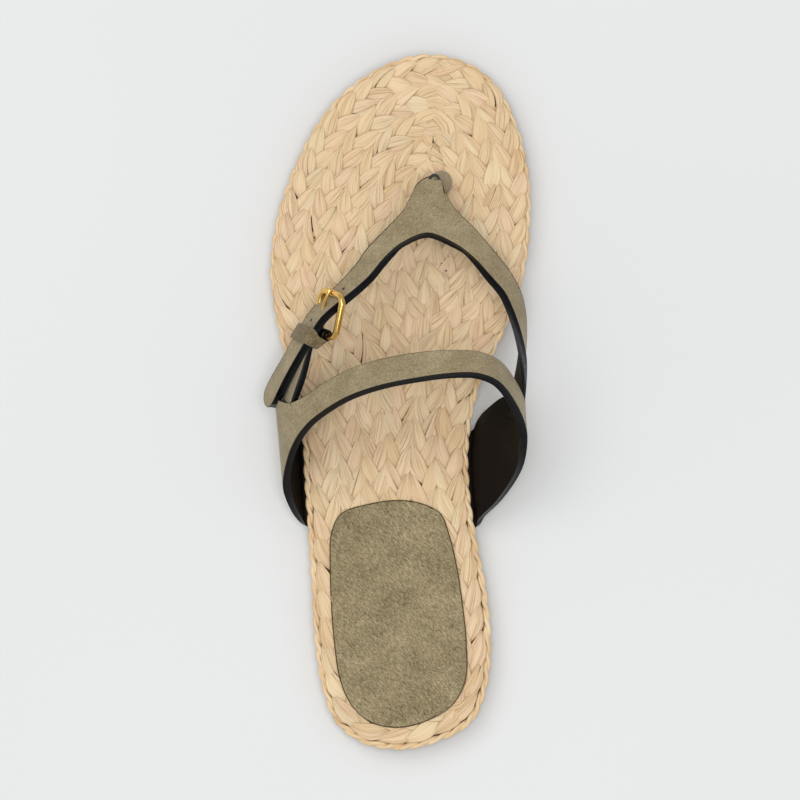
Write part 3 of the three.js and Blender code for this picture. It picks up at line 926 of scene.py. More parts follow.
@dataclass(frozen=True)
class Rubber(Finish):
    """Brown walking sole with fine cross ribs underneath."""

    def recipe(self, sheet: Sheet) -> Material:
        """Ribs by a wave, and a dusty mottle.

        Args:
            sheet: Empty sheet of the finish.

        Returns:
            The finished material.
        """
        where = sheet.place()
        dust = sheet.noise(where, 260, 4, 0.6)
        ribs = sheet.add(
            "ShaderNodeTexWave", {"Vector": where, "Scale": 130.0, "Distortion": 0.6}, bands_direction="Y"
        ).outputs["Fac"]
        colour = sheet.ramp(dust, [(0.3, (78, 54, 37)), (0.7, (112, 81, 56))])
        return sheet.finish(
            Base_Color=colour, Roughness=sheet.gloss(dust, 0.62, 0.85),
            Normal=sheet.bump(ribs, 0.5, 0.0006),
        )


@dataclass(frozen=True)
class Brass(Finish):
    """Polished yellow brass with faint rubbing marks."""

    def recipe(self, sheet: Sheet) -> Material:
        """Metal with fine uneven gloss.

        Args:
            sheet: Empty sheet of the finish.

        Returns:
            The finished material.
        """
        where = sheet.place()
        rubbing = sheet.noise(sheet.turned(where, 35, (1, 4, 1)), 420, 2, 0.5)
        clouds = sheet.noise(where, 160, 2)
        colour = sheet.ramp(clouds, [(0.3, (226, 178, 92)), (0.7, (243, 206, 128))])
        return sheet.finish(
            Base_Color=colour, Metallic=1.0, Roughness=sheet.gloss(rubbing, 0.2, 0.28),
            Normal=sheet.bump(rubbing, 0.01, 0.00002),
        )


@dataclass(frozen=True)
class StudioFloor(Finish):
    """Pale plain floor."""

    def recipe(self, sheet: Sheet) -> Material:
        """Nearly even off-white.

        Args:
            sheet: Empty sheet of the finish.

        Returns:
            The finished material.
        """
        clouds = sheet.noise(sheet.place(), 3, 1)
        colour = sheet.ramp(clouds, [(0.3, (232, 232, 229)), (0.7, (235, 235, 232))])
        return sheet.finish(Base_Color=colour, Roughness=0.9, Specular_IOR_Level=0.1)


STRAP_SUEDE = Suede("strap_suede")
PAD_SUEDE = Suede(
    "pad_suede", dark=(98, 83, 54), middle=(152, 136, 103), light=(196, 180, 144), nap=1700, brushing=42,
    mottling=75, relief=0.0004,
)
KEEPER_SUEDE = Suede(
    "keeper_suede", dark=(88, 74, 50), middle=(126, 109, 80), light=(156, 140, 108), nap=1500,
)
# Darker suede of the pad's rim and edge strip: partly the cut edge's own colour, partly a painted shadow
# line.
PAD_EDGE_AND_SHADE = Suede("pad_edge_and_shade", dark=(58, 47, 30), middle=(84, 70, 47), light=(108, 92, 64), nap=1500)
LINING = Lining("lining")
EDGE_PAINT = EdgePaint("edge_paint")
LEAF = RaffiaLeaf("raffia_leaf")
# Dark straw under the leaves and the side strands: painted shade in the gaps.
SHADED_BED = ShadedStrawBed("shaded_straw_bed")
CORD = RaffiaStrand("cord_strand")
SIDE_STRAND = RaffiaStrand("side_strand", shades=((182, 140, 94), (216, 180, 132), (234, 204, 160)))
RUBBER = Rubber("rubber")
BRASS = Brass("polished_brass")


# Pieces


@dataclass
class Piece:
    """One piece of the flip-flop: its mesh, its finishes and the solid it stands for."""

    name: str
    slot: str
    stands_for: str
    finishes: tuple[Finish, ...]
    crease: float = 50

    def build(self, bm: BMesh) -> None:
        """Models the piece in millimetres."""
        raise NotImplementedError

    def make(self) -> bpy.types.Object:
        """Makes the object, dresses it and fixes it to its body.

        Returns:
            The finished object.
        """
        bm = bmesh.new()
        self.build(bm)
        bmesh.ops.scale(bm, vec=(MM, MM, MM), verts=bm.verts)
        bmesh.ops.recalc_face_normals(bm, faces=bm.faces)
        for face in bm.faces:
            face.smooth = True
        mesh = bpy.data.meshes.new(self.name)
        bm.to_mesh(mesh)
        bm.free()
        for finish in self.finishes:
            mesh.materials.append(finish.material())
        mesh.set_sharp_from_angle(angle=math.radians(self.crease))
        piece = bpy.data.objects.new(self.name, mesh)
        bpy.context.scene.collection.objects.link(piece)
        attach(piece, "root")
        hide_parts(self.stands_for)
        LOG.info("%s: %d faces", self.name, len(mesh.polygons))
        return piece


@dataclass
class Outsole(Piece):
    """Thin walking sole."""

    inset: float = 1.6
    top: float = 2.8
    rounding: float = 0.5

    def build(self, bm: BMesh) -> None:
        """One slab that follows arch and toe spring.

        Args:
            bm: Mesh that takes the piece.
        """
        slab(
            bm, SOLE, self.inset, lambda p: sole_lift(p.y), lambda p: self.top + sole_lift(p.y),
            self.rounding,
        )


def twist(
    bm: BMesh,
    centres: Sequence[Vector],
    beside: Sequence[Vector],
    radius: float,
    helix: float,
    pitch: float,
    closed: bool = True,
) -> None:
    """Two strands twisted round one another along a line.

    Args:
        bm: Mesh that takes the strands.
        centres: Closely spaced points of the line.
        beside: Level direction square to the line at each point.
        radius: Radius of a strand.
        helix: Distance of a strand from the line.
        pitch: Millimetres for a full turn.
        closed: Whether the line is a ring.
    """
    strands, slow_swell, quick_swell = 2, 0.06, 0.05
    lengths = [0.0]
    for a, b in zip(centres, centres[1:]):
        lengths.append(lengths[-1] + (b - a).length)
    turns = max(1, round(lengths[-1] / pitch))
    for strand in range(strands):
        path = []
        for centre, side, length in zip(centres, beside, lengths):
            angle = 2 * math.pi * (turns * length / lengths[-1] + strand / strands)
            path.append(centre + (side * math.cos(angle) + UP * math.sin(angle)) * helix)
        if closed:
            path.pop()
        swell = random.Random(strand + 5)
        phase = [swell.uniform(0, 6.28) for _ in range(3)]

        def swollen(index: int) -> float:
            """Radius of the strand at a ring."""
            slow, quick = math.sin(index * 0.11 + phase[0]), math.sin(index * 0.31)
            return radius * (1 + slow_swell * slow + quick_swell * quick)

        tube(bm, path, swollen, closed=closed)


def ring_line(inset: float, height: float, steps: int) -> tuple[list[Vector], list[Vector]]:
    """Line that follows the sole's outline, and the level directions into the sole.

    Args:
        inset: Distance inside the outline.
        height: Height above the sole's underside.
        steps: Points of the line.

    Returns:
        The points, with the first repeated at the end, and the directions.
    """
    points, inward = [], []
    for step in range(steps + 1):
        share = step / steps
        point = SOLE.on_curve(share, inset)
        point.z = height + sole_lift(point.y)
        points.append(point)
        inward.append(SOLE.inward(share))
    return points, inward


@dataclass
class SideWrap(Piece):
    """Core of the sole with raffia strands laid round its side."""

    core_inset: float = 1.9
    core_bottom: float = 3.1
    core_top: float = 7.2
    strand_inset: float = 1.75
    strand_radius: float = 0.62
    helix: float = 0.42
    lower: float = 4.2
    upper: float = 6.3
    pitch: float = 6.5
    root_from: float = 31
    root_to: float = 48.5

    def build(self, bm: BMesh) -> None:
        """Core, a strand all round, and one that leaves room for the roots of the band.

        Args:
            bm: Mesh that takes the piece.
        """
        slab(
            bm, SOLE, self.core_inset, lambda p: self.core_bottom + sole_lift(p.y),
            lambda p: self.core_top + sole_lift(p.y),
        )
        # The core wears the dark straw: painted shade in the gaps between the side strands.
        for face in bm.faces:
            face.material_index = 1
        centres, inward = ring_line(self.strand_inset, self.lower, 900)
        twist(bm, centres, inward, self.strand_radius, self.helix, self.pitch)
        centres, inward = ring_line(self.strand_inset, self.upper, 900)
        low, high = place_along(self.root_from), place_along(self.root_to)
        heel_part = [i for i, p in enumerate(centres[:-1]) if p.y < low]
        toe_part = [i for i, p in enumerate(centres) if p.y > high]
        half = len(centres) // 2
        heel_part = [i for i in heel_part if i > half] + [i for i in heel_part if i <= half]
        for part in (heel_part, toe_part):
            twist(
                bm, [centres[i] for i in part], [inward[i] for i in part], self.strand_radius, self.helix,
                self.pitch, closed=False,
            )


@dataclass
class RimCord(Piece):
    """Two-strand cord round the edge of the footbed."""

    inset: float = 1.5
    height: float = 8.9
    radius: float = 0.9
    helix: float = 0.6
    pitch: float = 12.5

    def build(self, bm: BMesh) -> None:
        """The cord as two twisted strands."""
        centres, inward = ring_line(self.inset, self.height, 1000)
        twist(bm, centres, inward, self.radius, self.helix, self.pitch)


class Lane:
    """A run of plait beside the sole's outline, read by millimetres from its start."""

    STEPS = 260
    SMOOTHINGS = 12

    def __init__(self, start: float, end: float, inset: Callable[[float], float]) -> None:
        """Lays the middle line of the plait.

        Args:
            start: Share of the outline where the plait starts.
            end: Share of the outline where it ends.
            inset: Distance of the middle line from the outline at a given Y.
        """
        self.points: list[Vector] = []
        for step in range(self.STEPS + 1):
            share = lerp(start, end, step / self.STEPS)
            self.points.append(SOLE.on_curve(share, inset(SOLE.curve.at(share).y)))
        for _ in range(self.SMOOTHINGS):
            self.points[1:-1] = [
                (a + b * 2 + c) / 4 for a, b, c in zip(self.points, self.points[1:], self.points[2:])
            ]
        self.lengths = [0.0]
        for a, b in zip(self.points, self.points[1:]):
            self.lengths.append(self.lengths[-1] + (b - a).length)
        self.inward_turn = 1 if end < start else -1

    def at(self, length: float, aside: float) -> Vector:
        """Point of the plait.

        Args:
            length: Millimetres along the middle line.
            aside: Millimetres from the middle line towards the inside of the sole.

        Returns:
            The point, level with the ground.
        """
        index = min(max(bisect_right(self.lengths, length) - 1, 0), self.STEPS - 1)
        span = self.lengths[index + 1] - self.lengths[index]
        share = (length - self.lengths[index]) / max(span, 1e-6)
        a, b = self.points[index], self.points[index + 1]
        before, after = self.points[max(index - 3, 0)], self.points[min(index + 4, self.STEPS)]
        heading = (after - before).normalized()
        inward = Vector((-heading.y, heading.x, 0)) * self.inward_turn
        return a + (b - a) * share + inward * aside


@dataclass
class Footbed(Piece):
    """Plaits of flat raffia laid side by side: three follow the whole outline, the rest fill the ball."""

    base_height: float = 7.5
    bed_top: float = 9.5
    bed_inset: float = 2.6
    leaf_height: float = 10.5
    row_width: float = 9.35
    leaf_width: float = 6.3
    leaf_rows: int = 6
    leaf_columns: int = 4
    wall: float = 0.3
    split_share: float = 0.4
    seed: int = 21

    TOE_JOIN = 0.512
    HEEL_JOIN = 0.945
    BALL_ROWS_END = 0.18
    FULL_ROWS = 3
    LATERAL_ROWS = 7

    def build(self, bm: BMesh) -> None:
        """Bed, then the leaves of every plait.

        Args:
            bm: Mesh that takes the piece.
        """
        self.tint = bm.verts.layers.float.new("tint")
        self.number = bm.verts.layers.float.new("seed")
        self.dice = random.Random(self.seed)
        slab(
            bm, SOLE, self.bed_inset, lambda p: self.base_height + sole_lift(p.y),
            lambda p: self.bed_top + sole_lift(p.y), columns=8,
        )
        # The bed wears the dark straw: painted shade in the gaps between the leaves.
        for face in bm.faces:
            face.material_index = 1
        for row in range(self.LATERAL_ROWS):
            end = self.HEEL_JOIN - 1 if row < self.FULL_ROWS else self.BALL_ROWS_END
            self.plait(bm, end, row, Side.LATERAL)
        for row in range(self.FULL_ROWS + 1):
            self.plait(bm, self.HEEL_JOIN, row, Side.MEDIAL)

    def inset_of(self, row: int, y: float) -> float:
        """Distance of a row's middle from the outline: the cord shows wider at heel and waist."""
        heel_margin, ball_margin = 3.0, 1.9
        return lerp(heel_margin, ball_margin, smoothstep(0, 45, y)) + (row + 0.5) * self.row_width

    def keeps(self, point: Vector, row: int, side: Side) -> bool:
        """Whether a leaf at a point shows: not under the pad, past the spine or in a fold of the curve.

        Args:
            point: Middle of the leaf.
            row: Row of the plait, 0 at the outline.
            side: Side of the sole that the plait runs on.

        Returns:
            True if the leaf is made.
        """
        pad_margin, fold_margin = 3.5, 2.5
        if not SOLE.holds(point) or (PAD.holds(point) and PAD.distance(point) > pad_margin):
            return False
        if SOLE.distance(point, side) < self.inset_of(row, point.y) - fold_margin:
            return False
        spine = self.inset_of(self.FULL_ROWS, point.y) - self.row_width / 2
        if side is Side.LATERAL and row >= self.FULL_ROWS:
            return SOLE.distance(point, Side.MEDIAL) > spine - 3
        if side is Side.MEDIAL and row == self.FULL_ROWS:
            return SOLE.distance(point, Side.LATERAL) > spine - self.row_width
        return True

    def plait(self, bm: BMesh, end: float, row: int, side: Side) -> None:
        """Leaves of one plait, crossing from alternate sides, their points towards the heel.

        Args:
            bm: Mesh that takes the leaves.
            end: Share of the outline where the plait ends.
            row: Row of the plait.
            side: Side of the sole that the plait runs on.
        """
        overlap, usual_pitch = 0.07, 4.6
        lane = Lane(self.TOE_JOIN, end, lambda y: self.inset_of(row, y))
        sunk = 0.55 if side is Side.MEDIAL and row == self.FULL_ROWS else 0.0
        position, hand = -8.0, self.dice.choice((-1, 1))
        while position < lane.lengths[-1] - 3:
            middle = lane.at(position + 6, hand * 1.6)
            pitch = lerp(4.9, 4.2, smoothstep(-20, 40, middle.y)) * self.dice.uniform(0.9, 1.1)
            split = self.dice.uniform(-0.35, 0.35) if self.dice.random() < self.split_share else None
            if self.keeps(middle, row, side):
                halves = ((-1, 1),) if split is None else ((-1, split + overlap), (split - overlap, 1))
                for part in halves:
                    self.leaf(bm, lane, position, hand, pitch / usual_pitch, sunk, part)
            position += pitch
            hand = -hand

    def leaf(
        self,
        bm: BMesh,
        lane: Lane,
        start: float,
        hand: int,
        stretch: float,
        sunk: float,
        part: tuple[float, float],
    ) -> None:
        """One leaf: it comes up at the plait's border, crosses the middle and dips under the next.

        Args:
            bm: Mesh that takes the leaf.
            lane: Line of the plait.
            start: Where along the lane the leaf comes up.
            hand: 1 for a leaf from the inner border, -1 from the outer.
            stretch: Size of the leaf against the usual.
            sunk: How far the leaf lies below the others.
            part: Part of the usual width, -1 to 1, that the leaf takes.
        """
        dice = self.dice
        border = self.row_width * 0.46 + dice.uniform(-0.3, 0.3)
        past = 1.1 + dice.uniform(-0.5, 0.5)
        run = 15.2 * stretch * dice.uniform(0.92, 1.1)
        half_width = self.leaf_width / 2 * dice.uniform(0.84, 1.1)
        lift = dice.uniform(-0.1, 0.12) - sunk
        axis = Vector((-hand * (border + past), run))
        length = axis.length
        axis.normalize()
        square = Vector((-hand * abs(axis.y), -abs(axis.x)))
        pleats = [0.0, *(dice.uniform(-0.09, 0.09) for _ in range(self.leaf_columns - 1)), 0.0]
        tint, number = dice.random(), dice.random()
        rows, columns = self.leaf_rows, self.leaf_columns

        def corner(row: int, column: int) -> Vector:
            """Place of a corner of the leaf.

            Args:
                row: Row of the grid.
                column: Column of the grid.

            Returns:
                The corner, in millimetres.
            """
            s, c = row / rows, lerp(*part, column / columns)
            width = half_width * (0.12 + 0.88 * smoothstep(-0.1, 0.5, s))
            width *= 1 - 0.8 * smoothstep(0.6, 1.08, s)
            bow = 0.9 * math.sin(math.pi * s)
            flat = Vector((hand * (border + bow), start)) + axis * (length * s) + square * (c * width)
            point = lane.at(flat.y, flat.x)
            height = 0.66 * smoothstep(-0.05, 0.3, s) - 0.78 * smoothstep(0.6, 1.0, s) - 0.2
            height += 0.26 * c * (1 - 0.4 * s) - 0.08 * c * c + pleats[column] * math.sin(math.pi * s)
            point.z = self.leaf_height + sole_lift(point.y) + lift + height
            return point

        outer = grid_of(rows, columns, corner)
        inner = [[point - UP * self.wall for point in line] for line in outer]
        before = len(bm.verts)
        wall(bm, outer, inner)
        bm.verts.ensure_lookup_table()
        for vert in bm.verts[before:]:
            vert[self.tint], vert[self.number] = tint, number
        bm.faces.ensure_lookup_table()
        for face in bm.faces[-(rows * columns * 2 + 2 * (rows + columns)):]:
            face.material_index = 0


@dataclass
class HeelPad(Piece):
    """Suede pad under the heel, slightly crowned, with a crisp cut edge, darker along it: partly the cut
    edge's own colour, partly painted shade.
    """

    bottom: float = 10.6
    top: float = 11.75
    crown: float = 0.5
    border: float = 0.45
    fill: float = 0.9

    def build(self, bm: BMesh) -> None:
        """Slab whose upper face falls off towards the edge.

        Args:
            bm: Mesh that takes the piece.
        """

        def height(point: Vector) -> float:
            """Upper face: crown, and slow waves of the leather over the plaits.

            Args:
                point: Point of the pad.

            Returns:
                Height in millimetres.
            """
            edge = PAD.distance(point)
            fall = smoothstep(0, 7, edge)
            waves = 0.07 * math.sin(point.x * 0.33 + 1) * math.sin(point.y * 0.21)
            rim = 0.3 * smoothstep(0.7, 0, edge)
            return self.top + sole_lift(point.y) + self.crown * fall + waves * fall - rim

        # The rim and a thin strip of the upper face wear the darker edge suede: partly the cut edge's colour,
        # partly a painted shadow line.
        slab(bm, PAD, 0, lambda p: self.bottom + sole_lift(p.y), height, 0.42, 120, 38, self.border)

    def make(self) -> bpy.types.Object:
        """Makes the pad.

        Returns:
            The finished object.
        """
        pad = super().make()
        return pad


class Station(NamedTuple):
    """Cross section of a strap: centre of the face, degrees of lean, width, how far buried."""

    at: Place | Vector
    lean: float
    width: float
    buried: float = 0.0


@dataclass
class StrapFrame:
    """A strap's own directions at one place."""

    centre: Vector
    along: Vector
    across: Vector
    out: Vector
    width: float
    buried: float

    def point(self, up: float, outward: float) -> Vector:
        """Point given upward across the strap and outward from its face."""
        return self.centre + self.across * up + self.out * outward


class StrapPath:
    """A leaning strap read at any station."""

    def __init__(self, stations: Sequence[Station]) -> None:
        """Keeps the stations and lays the curve through their centres.

        Args:
            stations: Cross sections in order.
        """
        self.stations = stations
        self.last = len(stations) - 1
        self.curve = SmoothCurve([s.at if isinstance(s.at, Vector) else place(*s.at) for s in stations])

    def at(self, station: float) -> StrapFrame:
        """Directions, width and depth at a station.

        Args:
            station: Number of the station, parts of one between stations.

        Returns:
            The strap's frame there.
        """
        share = min(max(station / self.last, 0.0), 1.0)
        along = self.curve.heading(share)
        lean, width, buried = (column_at([s[n] for s in self.stations], station) for n in (1, 2, 3))
        level = Vector((along.y, -along.x, 0)).normalized()
        across = level * math.cos(math.radians(lean)) + UP * math.sin(math.radians(lean))
        across = (across - along * across.dot(along)).normalized()
        out = across.cross(along).normalized()
        return StrapFrame(self.curve.at(share), along, across, out, width, buried)


STRAP = StrapPath([
    Station((-50.6, 48.9, 36.9), 62, 2.6),
    Station((-50.1, 49.7, 38.2), 62, 8.4),
    Station((-48.8, 50.9, 40.3), 62, STRAP_WIDTH),
    Station((-43.6, 54.3, 47.5), 63, STRAP_WIDTH),
    Station((-35.3, 59.4, 54.6), 61, STRAP_WIDTH),
    Station((-30.4, 62, 57.4), 59, STRAP_WIDTH),
    Station((-20.8, 65.1, 60), 55, STRAP_WIDTH),
    Station((-13.6, 67.7, 60), 48, STRAP_WIDTH),
    Station((-8.3, 70.3, 59.3), 44, STRAP_WIDTH),
    Station((-1.1, 72.9, 58), 38, STRAP_WIDTH),
    Station((11.4, 74.9, 56.7), 26, STRAP_WIDTH),
    Station((24.4, 72.9, 56.4), 32, STRAP_WIDTH),
    Station((31.8, 70.5, 57.4), 41, STRAP_WIDTH),
    Station((37.8, 67.7, 57.4), 48, STRAP_WIDTH),
    Station((42.7, 65.2, 56.7), 57, STRAP_WIDTH),
    Station((45.4, 62.7, 55.7), 64, STRAP_WIDTH),
    Station((47.3, 59.4, 55.1), 77, STRAP_WIDTH),
    Station((48.1, 55.1, 54.4), 94, STRAP_WIDTH),
    Station((46.8, 51.2, 52.5), 110, 11.5, 1),
    Station((44.8, 46.9, 50.8), 117, 11.5, 1),
])
KEEPER_STATION = 3.9
TOE_BAR_STATION = 5.7


def direction(turn: float, lean: float) -> Vector:
    """Direction turned about Z and raised from level, in degrees."""
    a, b = math.radians(turn), math.radians(lean)
    return Vector((math.cos(a) * math.cos(b), math.sin(a) * math.cos(b), math.sin(b)))


@dataclass
class BuckleSeat:
    """Places and directions of the buckle on the strap."""

    length: float = 17.8
    width: float = 16.4
    bar: float = 2.3
    prong: float = 1.3
    chape_thickness: float = 0.8
    chape_width: float = 8.0
    chape_shift: float = 2.2

    def __post_init__(self) -> None:
        """Works out the two bars and the frame's directions."""
        self.along = direction(-102, -11)
        across = direction(-30, 49)
        self.across = (across - self.along * across.dot(self.along)).normalized()
        self.out = self.along.cross(self.across).normalized()
        self.toe_bar = STRAP.at(TOE_BAR_STATION).point(0, self.bar / 2 + GAP)
        self.heel_bar = self.toe_bar + self.along * (self.length - self.bar)
        self.fold_radius = self.bar / 2 + GAP + self.chape_thickness


SEAT = BuckleSeat()


class Rib(NamedTuple):
    """Edge points of the thong strap's face, how far it is buried, and 1 in the tongue's fan."""

    lower: Vector
    upper: Vector
    buried: float
    fan: float = 0.0


@dataclass
class Upper(Piece):
    """Instep band with its wings, thong strap with its tongue, buckle tab and toe stem, joined."""

    rounding: float = 0.42
    groove: float = 0.22
    punch: float = 1.3
    border: float = 0.45
    band_columns: int = 8
    strap_columns: int = 8
    stem_width: float = 7.0
    stem_length: float = 8.6
    tab_width: float = 10.6
    tab_lap: float = 0.7
    tab_skive: float = 0.85
    keeper_length: float = 6.4

    LATERAL_ROOT = (
        (-8.5, 5, 31.8, 46.6, 1.8),
        (-3, 5, 31.8, 47, 1.8),
        (1.6, 5.3, 32.2, 47.8, 2.2),
        (4.2, 8.1, 33.2, 48.6, STRAP_THICKNESS),
    )
    MEDIAL_ROOT = (
        (-8.5, 5, 31.4, 45.2, 1.8),
        (-3, 5, 31.5, 45.4, 1.8),
        (1.6, 5.3, 32.1, 45.9, 2.2),
        (4.2, 8.1, 33.3, 47.0, STRAP_THICKNESS),
    )
    BAND = (
        ((-42.6, 34.8, 23), (-46.6, 49.6, 25)),
        ((-44.3, 37, 33), (-47.4, 50, 35)),
        ((-43.4, 39.4, 44), (-45.8, 49.8, 45)),
        ((-39.9, 42.9, 58.5), (-41.4, 49.2, 54)),
        ((-34.2, 45.7, 70), (-35.2, 50, 62)),
        ((-26.4, 47.8, 78.6), (-29.2, 51.4, 68.2)),
        ((-17.6, 49.5, 86.6), (-19, 53.4, 76.2)),
        ((-5.6, 50.9, 93), (-5.6, 54.9, 82.6)),
        ((7.6, 51.8, 97), (7.8, 55.7, 86.2)),
        ((20.4, 52.4, 99.4), (20.8, 56, 87.4)),
        ((30.2, 52.4, 99), (31.2, 55.8, 84.4)),
        ((37.8, 51.4, 95), (38.8, 54.6, 77.4)),
        ((44.4, 48.5, 82.4), (44.4, 52, 66)),
        ((48.4, 44.9, 67), (47.8, 49.4, 58)),
        ((48.2, 41.6, 53.6), (45.6, 50.2, 49)),
        ((46, 39.2, 42.6), (41.2, 50.2, 40.4)),
        ((39, 35.6, 25.6), (35, 48.6, 26.4)),
    )
    TONGUE_EDGE = (
        (-0.6, 75.5, 52.1),
        (2.2, 76.8, 51.1),
        (3.9, 78.1, 49.2),
        (5.2, 79.2, 46.9),
        (6.4, 80.3, 44.3),
        (8.2, 81.1, 42.0),
        (10.7, 81.6, 40.3),
        (13.0, 81.9, 39.3),
        (15.0, 81.6, 40.0),
        (16.4, 80.9, 42.0),
        (17.2, 79.6, 45.6),
        (18.6, 78.4, 48.2),
        (20.6, 77.2, 50.2),
        (23.2, 76.0, 51.3),
        (26.2, 74.9, 52.0),
        (29.4, 73.7, 52.1),
    )
    STEM = (
        ((13.2, 80.9, 41), 0.72),
        ((14.6, 80.9, 35), 0.96),
        ((15.8, 81.3, 27), 1.0),
        ((16.3, 81.4, 18), 1.0),
        ((16.4, 81.4, 8), 1.0),
    )
    TAB = (
        Station((-44.0, 45.2, 45.6), 76, 6.5, 1),
        Station((-43, 49, 47.6), 68, 10.4, 0.4),
        Station((-39.6, 53.2, 50.6), 63, 11.2, 0.1),
    )

    TONGUE_MIDDLE = 10.5
    PUNCHES = (4.52, 5.3, 6.02)
    PUNCH_RISE = 0.03

    def build(self, bm: BMesh) -> None:
        """All the leather parts in one mesh.

        Args:
            bm: Mesh that takes the piece.
        """
        self.band(bm)
        self.thong(bm)
        self.tab(bm)
        self.fold(bm)
        self.stem(bm)
        self.punches(bm)

    def root_line(self, row: tuple[float, ...], side: Side) -> list[Vector]:
        """Section of a root, a line that follows the edge of the sole.

        Args:
            row: Outward, height, rear, front and thickness of the section.
            side: Side of the sole.

        Returns:
            Points from rear to front.
        """
        outward, height, rear, front, _ = row
        line = []
        for column in range(self.band_columns + 1):
            y = place_along(lerp(rear, front, column / self.band_columns))
            line.append(Vector((SOLE.edge_x(y, side) + side.value * outward, y, height + sole_lift(y))))
        return line

    def band(self, bm: BMesh) -> None:
        """Band from the lateral root over the foot to the medial root.

        Args:
            bm: Mesh that takes the piece.
        """
        columns, steps = self.band_columns, 4
        sections = [self.root_line(row, Side.LATERAL) for row in self.LATERAL_ROOT]
        for rear, front in self.BAND:
            start, end = place(*rear), place(*front)
            sections.append([start.lerp(end, column / columns) for column in range(columns + 1)])
        sections += [self.root_line(row, Side.MEDIAL) for row in reversed(self.MEDIAL_ROOT)]
        depths = [row[4] for row in self.LATERAL_ROOT] + [STRAP_THICKNESS] * len(self.BAND)
        depths += [row[4] for row in reversed(self.MEDIAL_ROOT)]
        count = (len(sections) - 1) * steps
        curves = [SmoothCurve([line[column] for line in sections]) for column in range(columns + 1)]
        outer = [[curve.at(step / count) for curve in curves] for step in range(count + 1)]
        inner = backed(outer, lambda row: column_at(depths, row / steps))
        wall(bm, outer, inner, self.rounding, self.groove)

    def ribs(self) -> list[Rib]:
        """Ribs of the thong strap: across the arms, and fanned out over the tongue.

        Returns:
            Ribs from the free end to the medial wing.
        """
        made = []

        def across_strap(station: float) -> Rib:
            """Rib straight across the strap.

            Args:
                station: Number of the station.

            Returns:
                The rib.
            """
            here = STRAP.at(station)
            sink = -BURIED_DEPTH * here.buried
            return Rib(here.point(-here.width / 2, sink), here.point(here.width / 2, sink), here.buried)

        tongue_from, tongue_to = 8, 13
        for step in range(2 * tongue_from + 1):
            made.append(across_strap(step / 2))
        count = len(self.TONGUE_EDGE)
        for index, edge in enumerate(self.TONGUE_EDGE):
            station = lerp(tongue_from + 0.55, tongue_to - 0.5, index / (count - 1))
            here = STRAP.at(station)
            made.append(Rib(place(*edge), here.point(here.width / 2, 0), 0.0, 1.0))
        for step in range(2 * tongue_to, 2 * STRAP.last + 1):
            made.append(across_strap(step / 2))
        return made

    def thong(self, bm: BMesh) -> None:
        """Thong strap with its tongue and pointed free end.

        Args:
            bm: Mesh that takes the piece.
        """
        ribs, steps, columns = self.ribs(), 2, self.strap_columns
        count = (len(ribs) - 1) * steps
        lower, upper = SmoothCurve([rib.lower for rib in ribs]), SmoothCurve([rib.upper for rib in ribs])
        outer = []
        for step in range(count + 1):
            start, end = lower.at(step / count), upper.at(step / count)
            shares = strip_shares((end - start).length, self.border, columns)
            outer.append([start.lerp(end, share) for share in shares])
        buried = [rib.buried for rib in ribs]

        def thickness(row: int) -> float:
            """Thickness of the strap at a row."""
            return lerp(STRAP_THICKNESS, BURIED_THICKNESS, column_at(buried, row / steps))

        inner = backed(outer, thickness, turn=-1)
        tongue_out = STRAP.at(self.TONGUE_MIDDLE).out
        for row, (face_line, back_line) in enumerate(zip(outer, inner)):
            fan = column_at([rib.fan for rib in ribs], row / steps)
            for column, point in enumerate(face_line):
                straight = point - tongue_out * STRAP_THICKNESS
                back_line[column] = back_line[column].lerp(straight, fan * (1 - shares[column]))
        known = set(bm.faces)
        wall(bm, outer, inner, self.rounding, self.groove)
        column_of = bm.verts.layers.int["column"]
        for face in bm.faces:
            if face not in known and face.material_index == Skin.FACE:
                beside = {vert[column_of] for vert in face.verts}
                if max(beside) <= 1 or min(beside) >= columns - 1:
                    face.material_index = Skin.EDGE

    def tab(self, bm: BMesh) -> None:
        """Tab that runs from the lateral wing under the strap to the buckle.

        Args:
            bm: Mesh that takes the piece.
        """
        keeper, half = STRAP.at(KEEPER_STATION), self.keeper_length / 2
        depth = self.tab_lap - STRAP_THICKNESS
        over_fold = SEAT.heel_bar + SEAT.out * SEAT.fold_radius - SEAT.across * SEAT.chape_shift
        path = StrapPath([
            *self.TAB,
            Station(keeper.point(0, depth) - keeper.along * half, 62, self.tab_width, self.tab_skive),
            Station(keeper.point(0, depth), 61, self.tab_width, self.tab_skive),
            Station(over_fold, 55, SEAT.chape_width, self.tab_skive),
        ])
        steps, columns = 4, 4
        outer, inner = [], []
        for step in range(path.last * steps + 1):
            here = path.at(step / steps)
            top = -BURIED_DEPTH * here.buried
            thickness = lerp(STRAP_THICKNESS, BURIED_THICKNESS, here.buried)
            for grid, depth in ((outer, top), (inner, top - thickness)):
                grid.append([here.point(here.width * (c / columns - 0.5), depth) for c in range(columns + 1)])
        wall(bm, outer, inner, self.rounding * 0.7)

    def fold(self, bm: BMesh) -> None:
        """Fold of the tab round the buckle's heel bar.

        Args:
            bm: Mesh that takes the piece.
        """
        columns, rows, opening, rounding = 20, 4, math.radians(24), 0.2

        def bent(row: int, column: int, radius: float) -> Vector:
            """Corner of the fold at a radius from the bar.

            Args:
                row: Row of the grid.
                column: Column of the grid.
                radius: Distance from the middle of the bar.

            Returns:
                The corner, in millimetres.
            """
            aside = SEAT.chape_width * (row / rows - 0.5) - SEAT.chape_shift
            middle = SEAT.heel_bar + SEAT.across * aside
            angle = lerp(opening, 2 * math.pi - opening, column / columns) - math.pi / 2
            return middle + (SEAT.along * math.cos(angle) + SEAT.out * math.sin(angle)) * radius

        grids = [
            grid_of(rows, columns, lambda row, column: bent(row, column, radius))
            for radius in (SEAT.fold_radius, SEAT.fold_radius - SEAT.chape_thickness)
        ]
        # The fold's outer face wears the dark lining: painted shade, as the fold lies in shadow.
        self.repaint(bm, grids, rounding, Skin.FACE, Skin.BACK)

